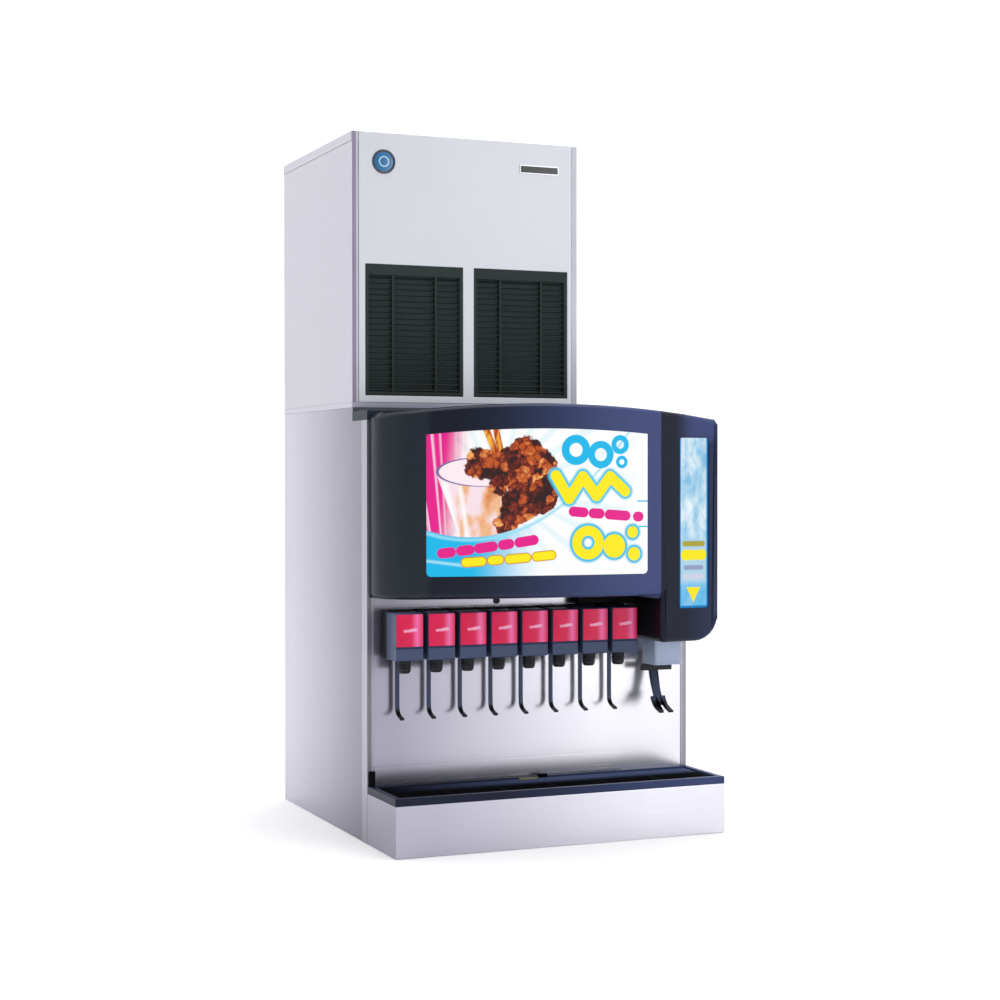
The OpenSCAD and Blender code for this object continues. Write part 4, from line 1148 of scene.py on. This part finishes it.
badge_looks = [badge_ring, badge_blue, badge_pale]
build("round_badge_dome", badge(), badge_looks, ["round_badge"])
build("name_plate_blank", blank_plate(), [plate_black, bright_steel], ["name_plate"])
finish_node("key_lock", 0.4, [lock_metal], body="lock")


# ---- what is inside or behind keeps its CAD mesh ----

KEPT = {
    "ice_hopper": liner_white,
    "cold_plate": cast("cast_alloy", (176, 178, 182), 0.45),
    "agitator": white_plastic,
    "agitator_motor": motor_grey,
    "light_panels": white_plastic,
    "lever_pins": cast("pin_steel", (196, 196, 200), 0.25),
    "ice_gate": liner_white,
    "drain_pipe": pipe_plastic,
    "service_inlets": cast("fitting_steel", (190, 192, 198), 0.3),
    "power_glands": moulded("gland_black", (18, 18, 20), 0.5),
    "compressor": cast("compressor_black", (24, 24, 27), 0.42, metal=0.2),
    "condenser": cast("condenser_fins", (150, 154, 160), 0.4),
    "fan": moulded("fan_black", (28, 28, 32), 0.45),
    "fan_motor": motor_grey,
    "evaporator": cast("evaporator_steel", (190, 176, 152), 0.42),
    "auger": cast("auger_steel", (200, 202, 206), 0.24),
    "gear_motor": motor_grey,
    "control_box": brushed("box_steel", (180, 184, 190), 0.42),
    "water_reservoir": white_plastic,
    "ice_spout": pipe_plastic,
}
for node, material in KEPT.items():
    mesh = nodes[node].data
    mesh.materials.clear()
    mesh.materials.append(material)
    for polygon in mesh.polygons:
        polygon.material_index = 0


# ---- room, light and camera ----


def flat_look(name, value, rough):
    """Plain pale studio surface with a trace of unevenness."""
    look = Look(name, rough=rough)
    cloud = look.noise((0.8, 0.8, 0.8))
    look.set("Base Color", look.blend(cloud, (value, value, value, 1), (value + 0.02,) * 3 + (1,)))
    look.set("Emission Color", WHITE)
    look.set("Emission Strength", 0.1)
    return look.material


def studio():
    """White floor that curves up into a backdrop behind the object."""
    r, back, width, front, high = 1.5, 5.0, 16.0, -9.0, 7.0
    line = [(front, 0)] + arc(back, r, r, -90, 0, 15) + [(back + r, high)]
    bm = bmesh.new()
    rows = [[bm.verts.new((x, y, z - 0.0005)) for y, z in line] for x in (-width, width)]
    for a, b, c, d in zip(rows[0], rows[0][1:], rows[1][1:], rows[1]):
        bm.faces.new((d, c, b, a))
    for face in bm.faces:
        face.smooth = True
    floor = as_object("studio_floor", bm)
    floor.data.materials.append(flat_look("studio_white", 0.92, 0.9))


def soft_light(name, azimuth, distance, height, size, power, aim=(0, 0, 0.75)):
    """Rectangular area light, placed by its azimuth from the front and aimed at a point."""
    data = bpy.data.lights.new(name, "AREA")
    data.shape = "RECTANGLE"
    data.size, data.size_y = size
    data.energy = power
    light = bpy.data.objects.new(name, data)
    turn = radians(azimuth)
    light.location = (distance * sin(turn), -distance * cos(turn), height)
    light.rotation_euler = (Vector(aim) - light.location).to_track_quat("-Z", "Y").to_euler()
    bpy.context.scene.collection.objects.link(light)


studio()
soft_light("key_edge", 27, 4.2, 1.1, (0.42, 2.6), 6, aim=(0, -0.3, 0.9))
soft_light("key_middle", 20, 4.2, 1.1, (0.62, 2.6), 3, aim=(0, -0.3, 0.9))
soft_light("top", 0, 0.6, 4.0, (3.2, 3.2), 70)
soft_light("backdrop_wash", 180, 1.8, 4.8, (14, 1.0), 330, aim=(0, 6.2, 1.6))

# The room is dimmer in front of the object, and bright from the front right round to the back
world = bpy.data.worlds.new("studio_air")
air = Tree(world)
way = air.tree.nodes.new("ShaderNodeSeparateXYZ")
air.put(way.inputs[0], air.tree.nodes.new("ShaderNodeTexCoord").outputs["Generated"])
azimuth = air.calc("ARCTAN2", way.outputs[0], air.times(way.outputs[1], -1))
right = air.remap(azimuth, radians(9), radians(30), 0.34, 1.2, smooth=True)
left = air.remap(azimuth, radians(-75), radians(-30), 0.8, 0.34, smooth=True)
background = air.tree.nodes["Background"]
air.put(background.inputs["Color"], (0.975, 0.98, 1.0, 1))
air.put(background.inputs["Strength"], air.calc("MAXIMUM", right, left))
bpy.context.scene.world = world
bpy.context.scene.view_settings.view_transform = "Standard"

camera = bpy.data.cameras.new("camera")
camera.lens = 68.29
camera.sensor_width = 36
viewer = bpy.data.objects.new("camera", camera)
viewer.location = (-1.7207, -4.1161, 0.7994)
yaw, pitch, roll = radians(-22.88), radians(90 - 0.74), radians(0.03)
viewer.rotation_euler = (
    Matrix.Rotation(yaw, 4, "Z") @ Matrix.Rotation(pitch, 4, "X") @ Matrix.Rotation(-roll, 4, "Z")
).to_euler()
bpy.context.scene.collection.objects.link(viewer)
bpy.context.scene.camera = viewer
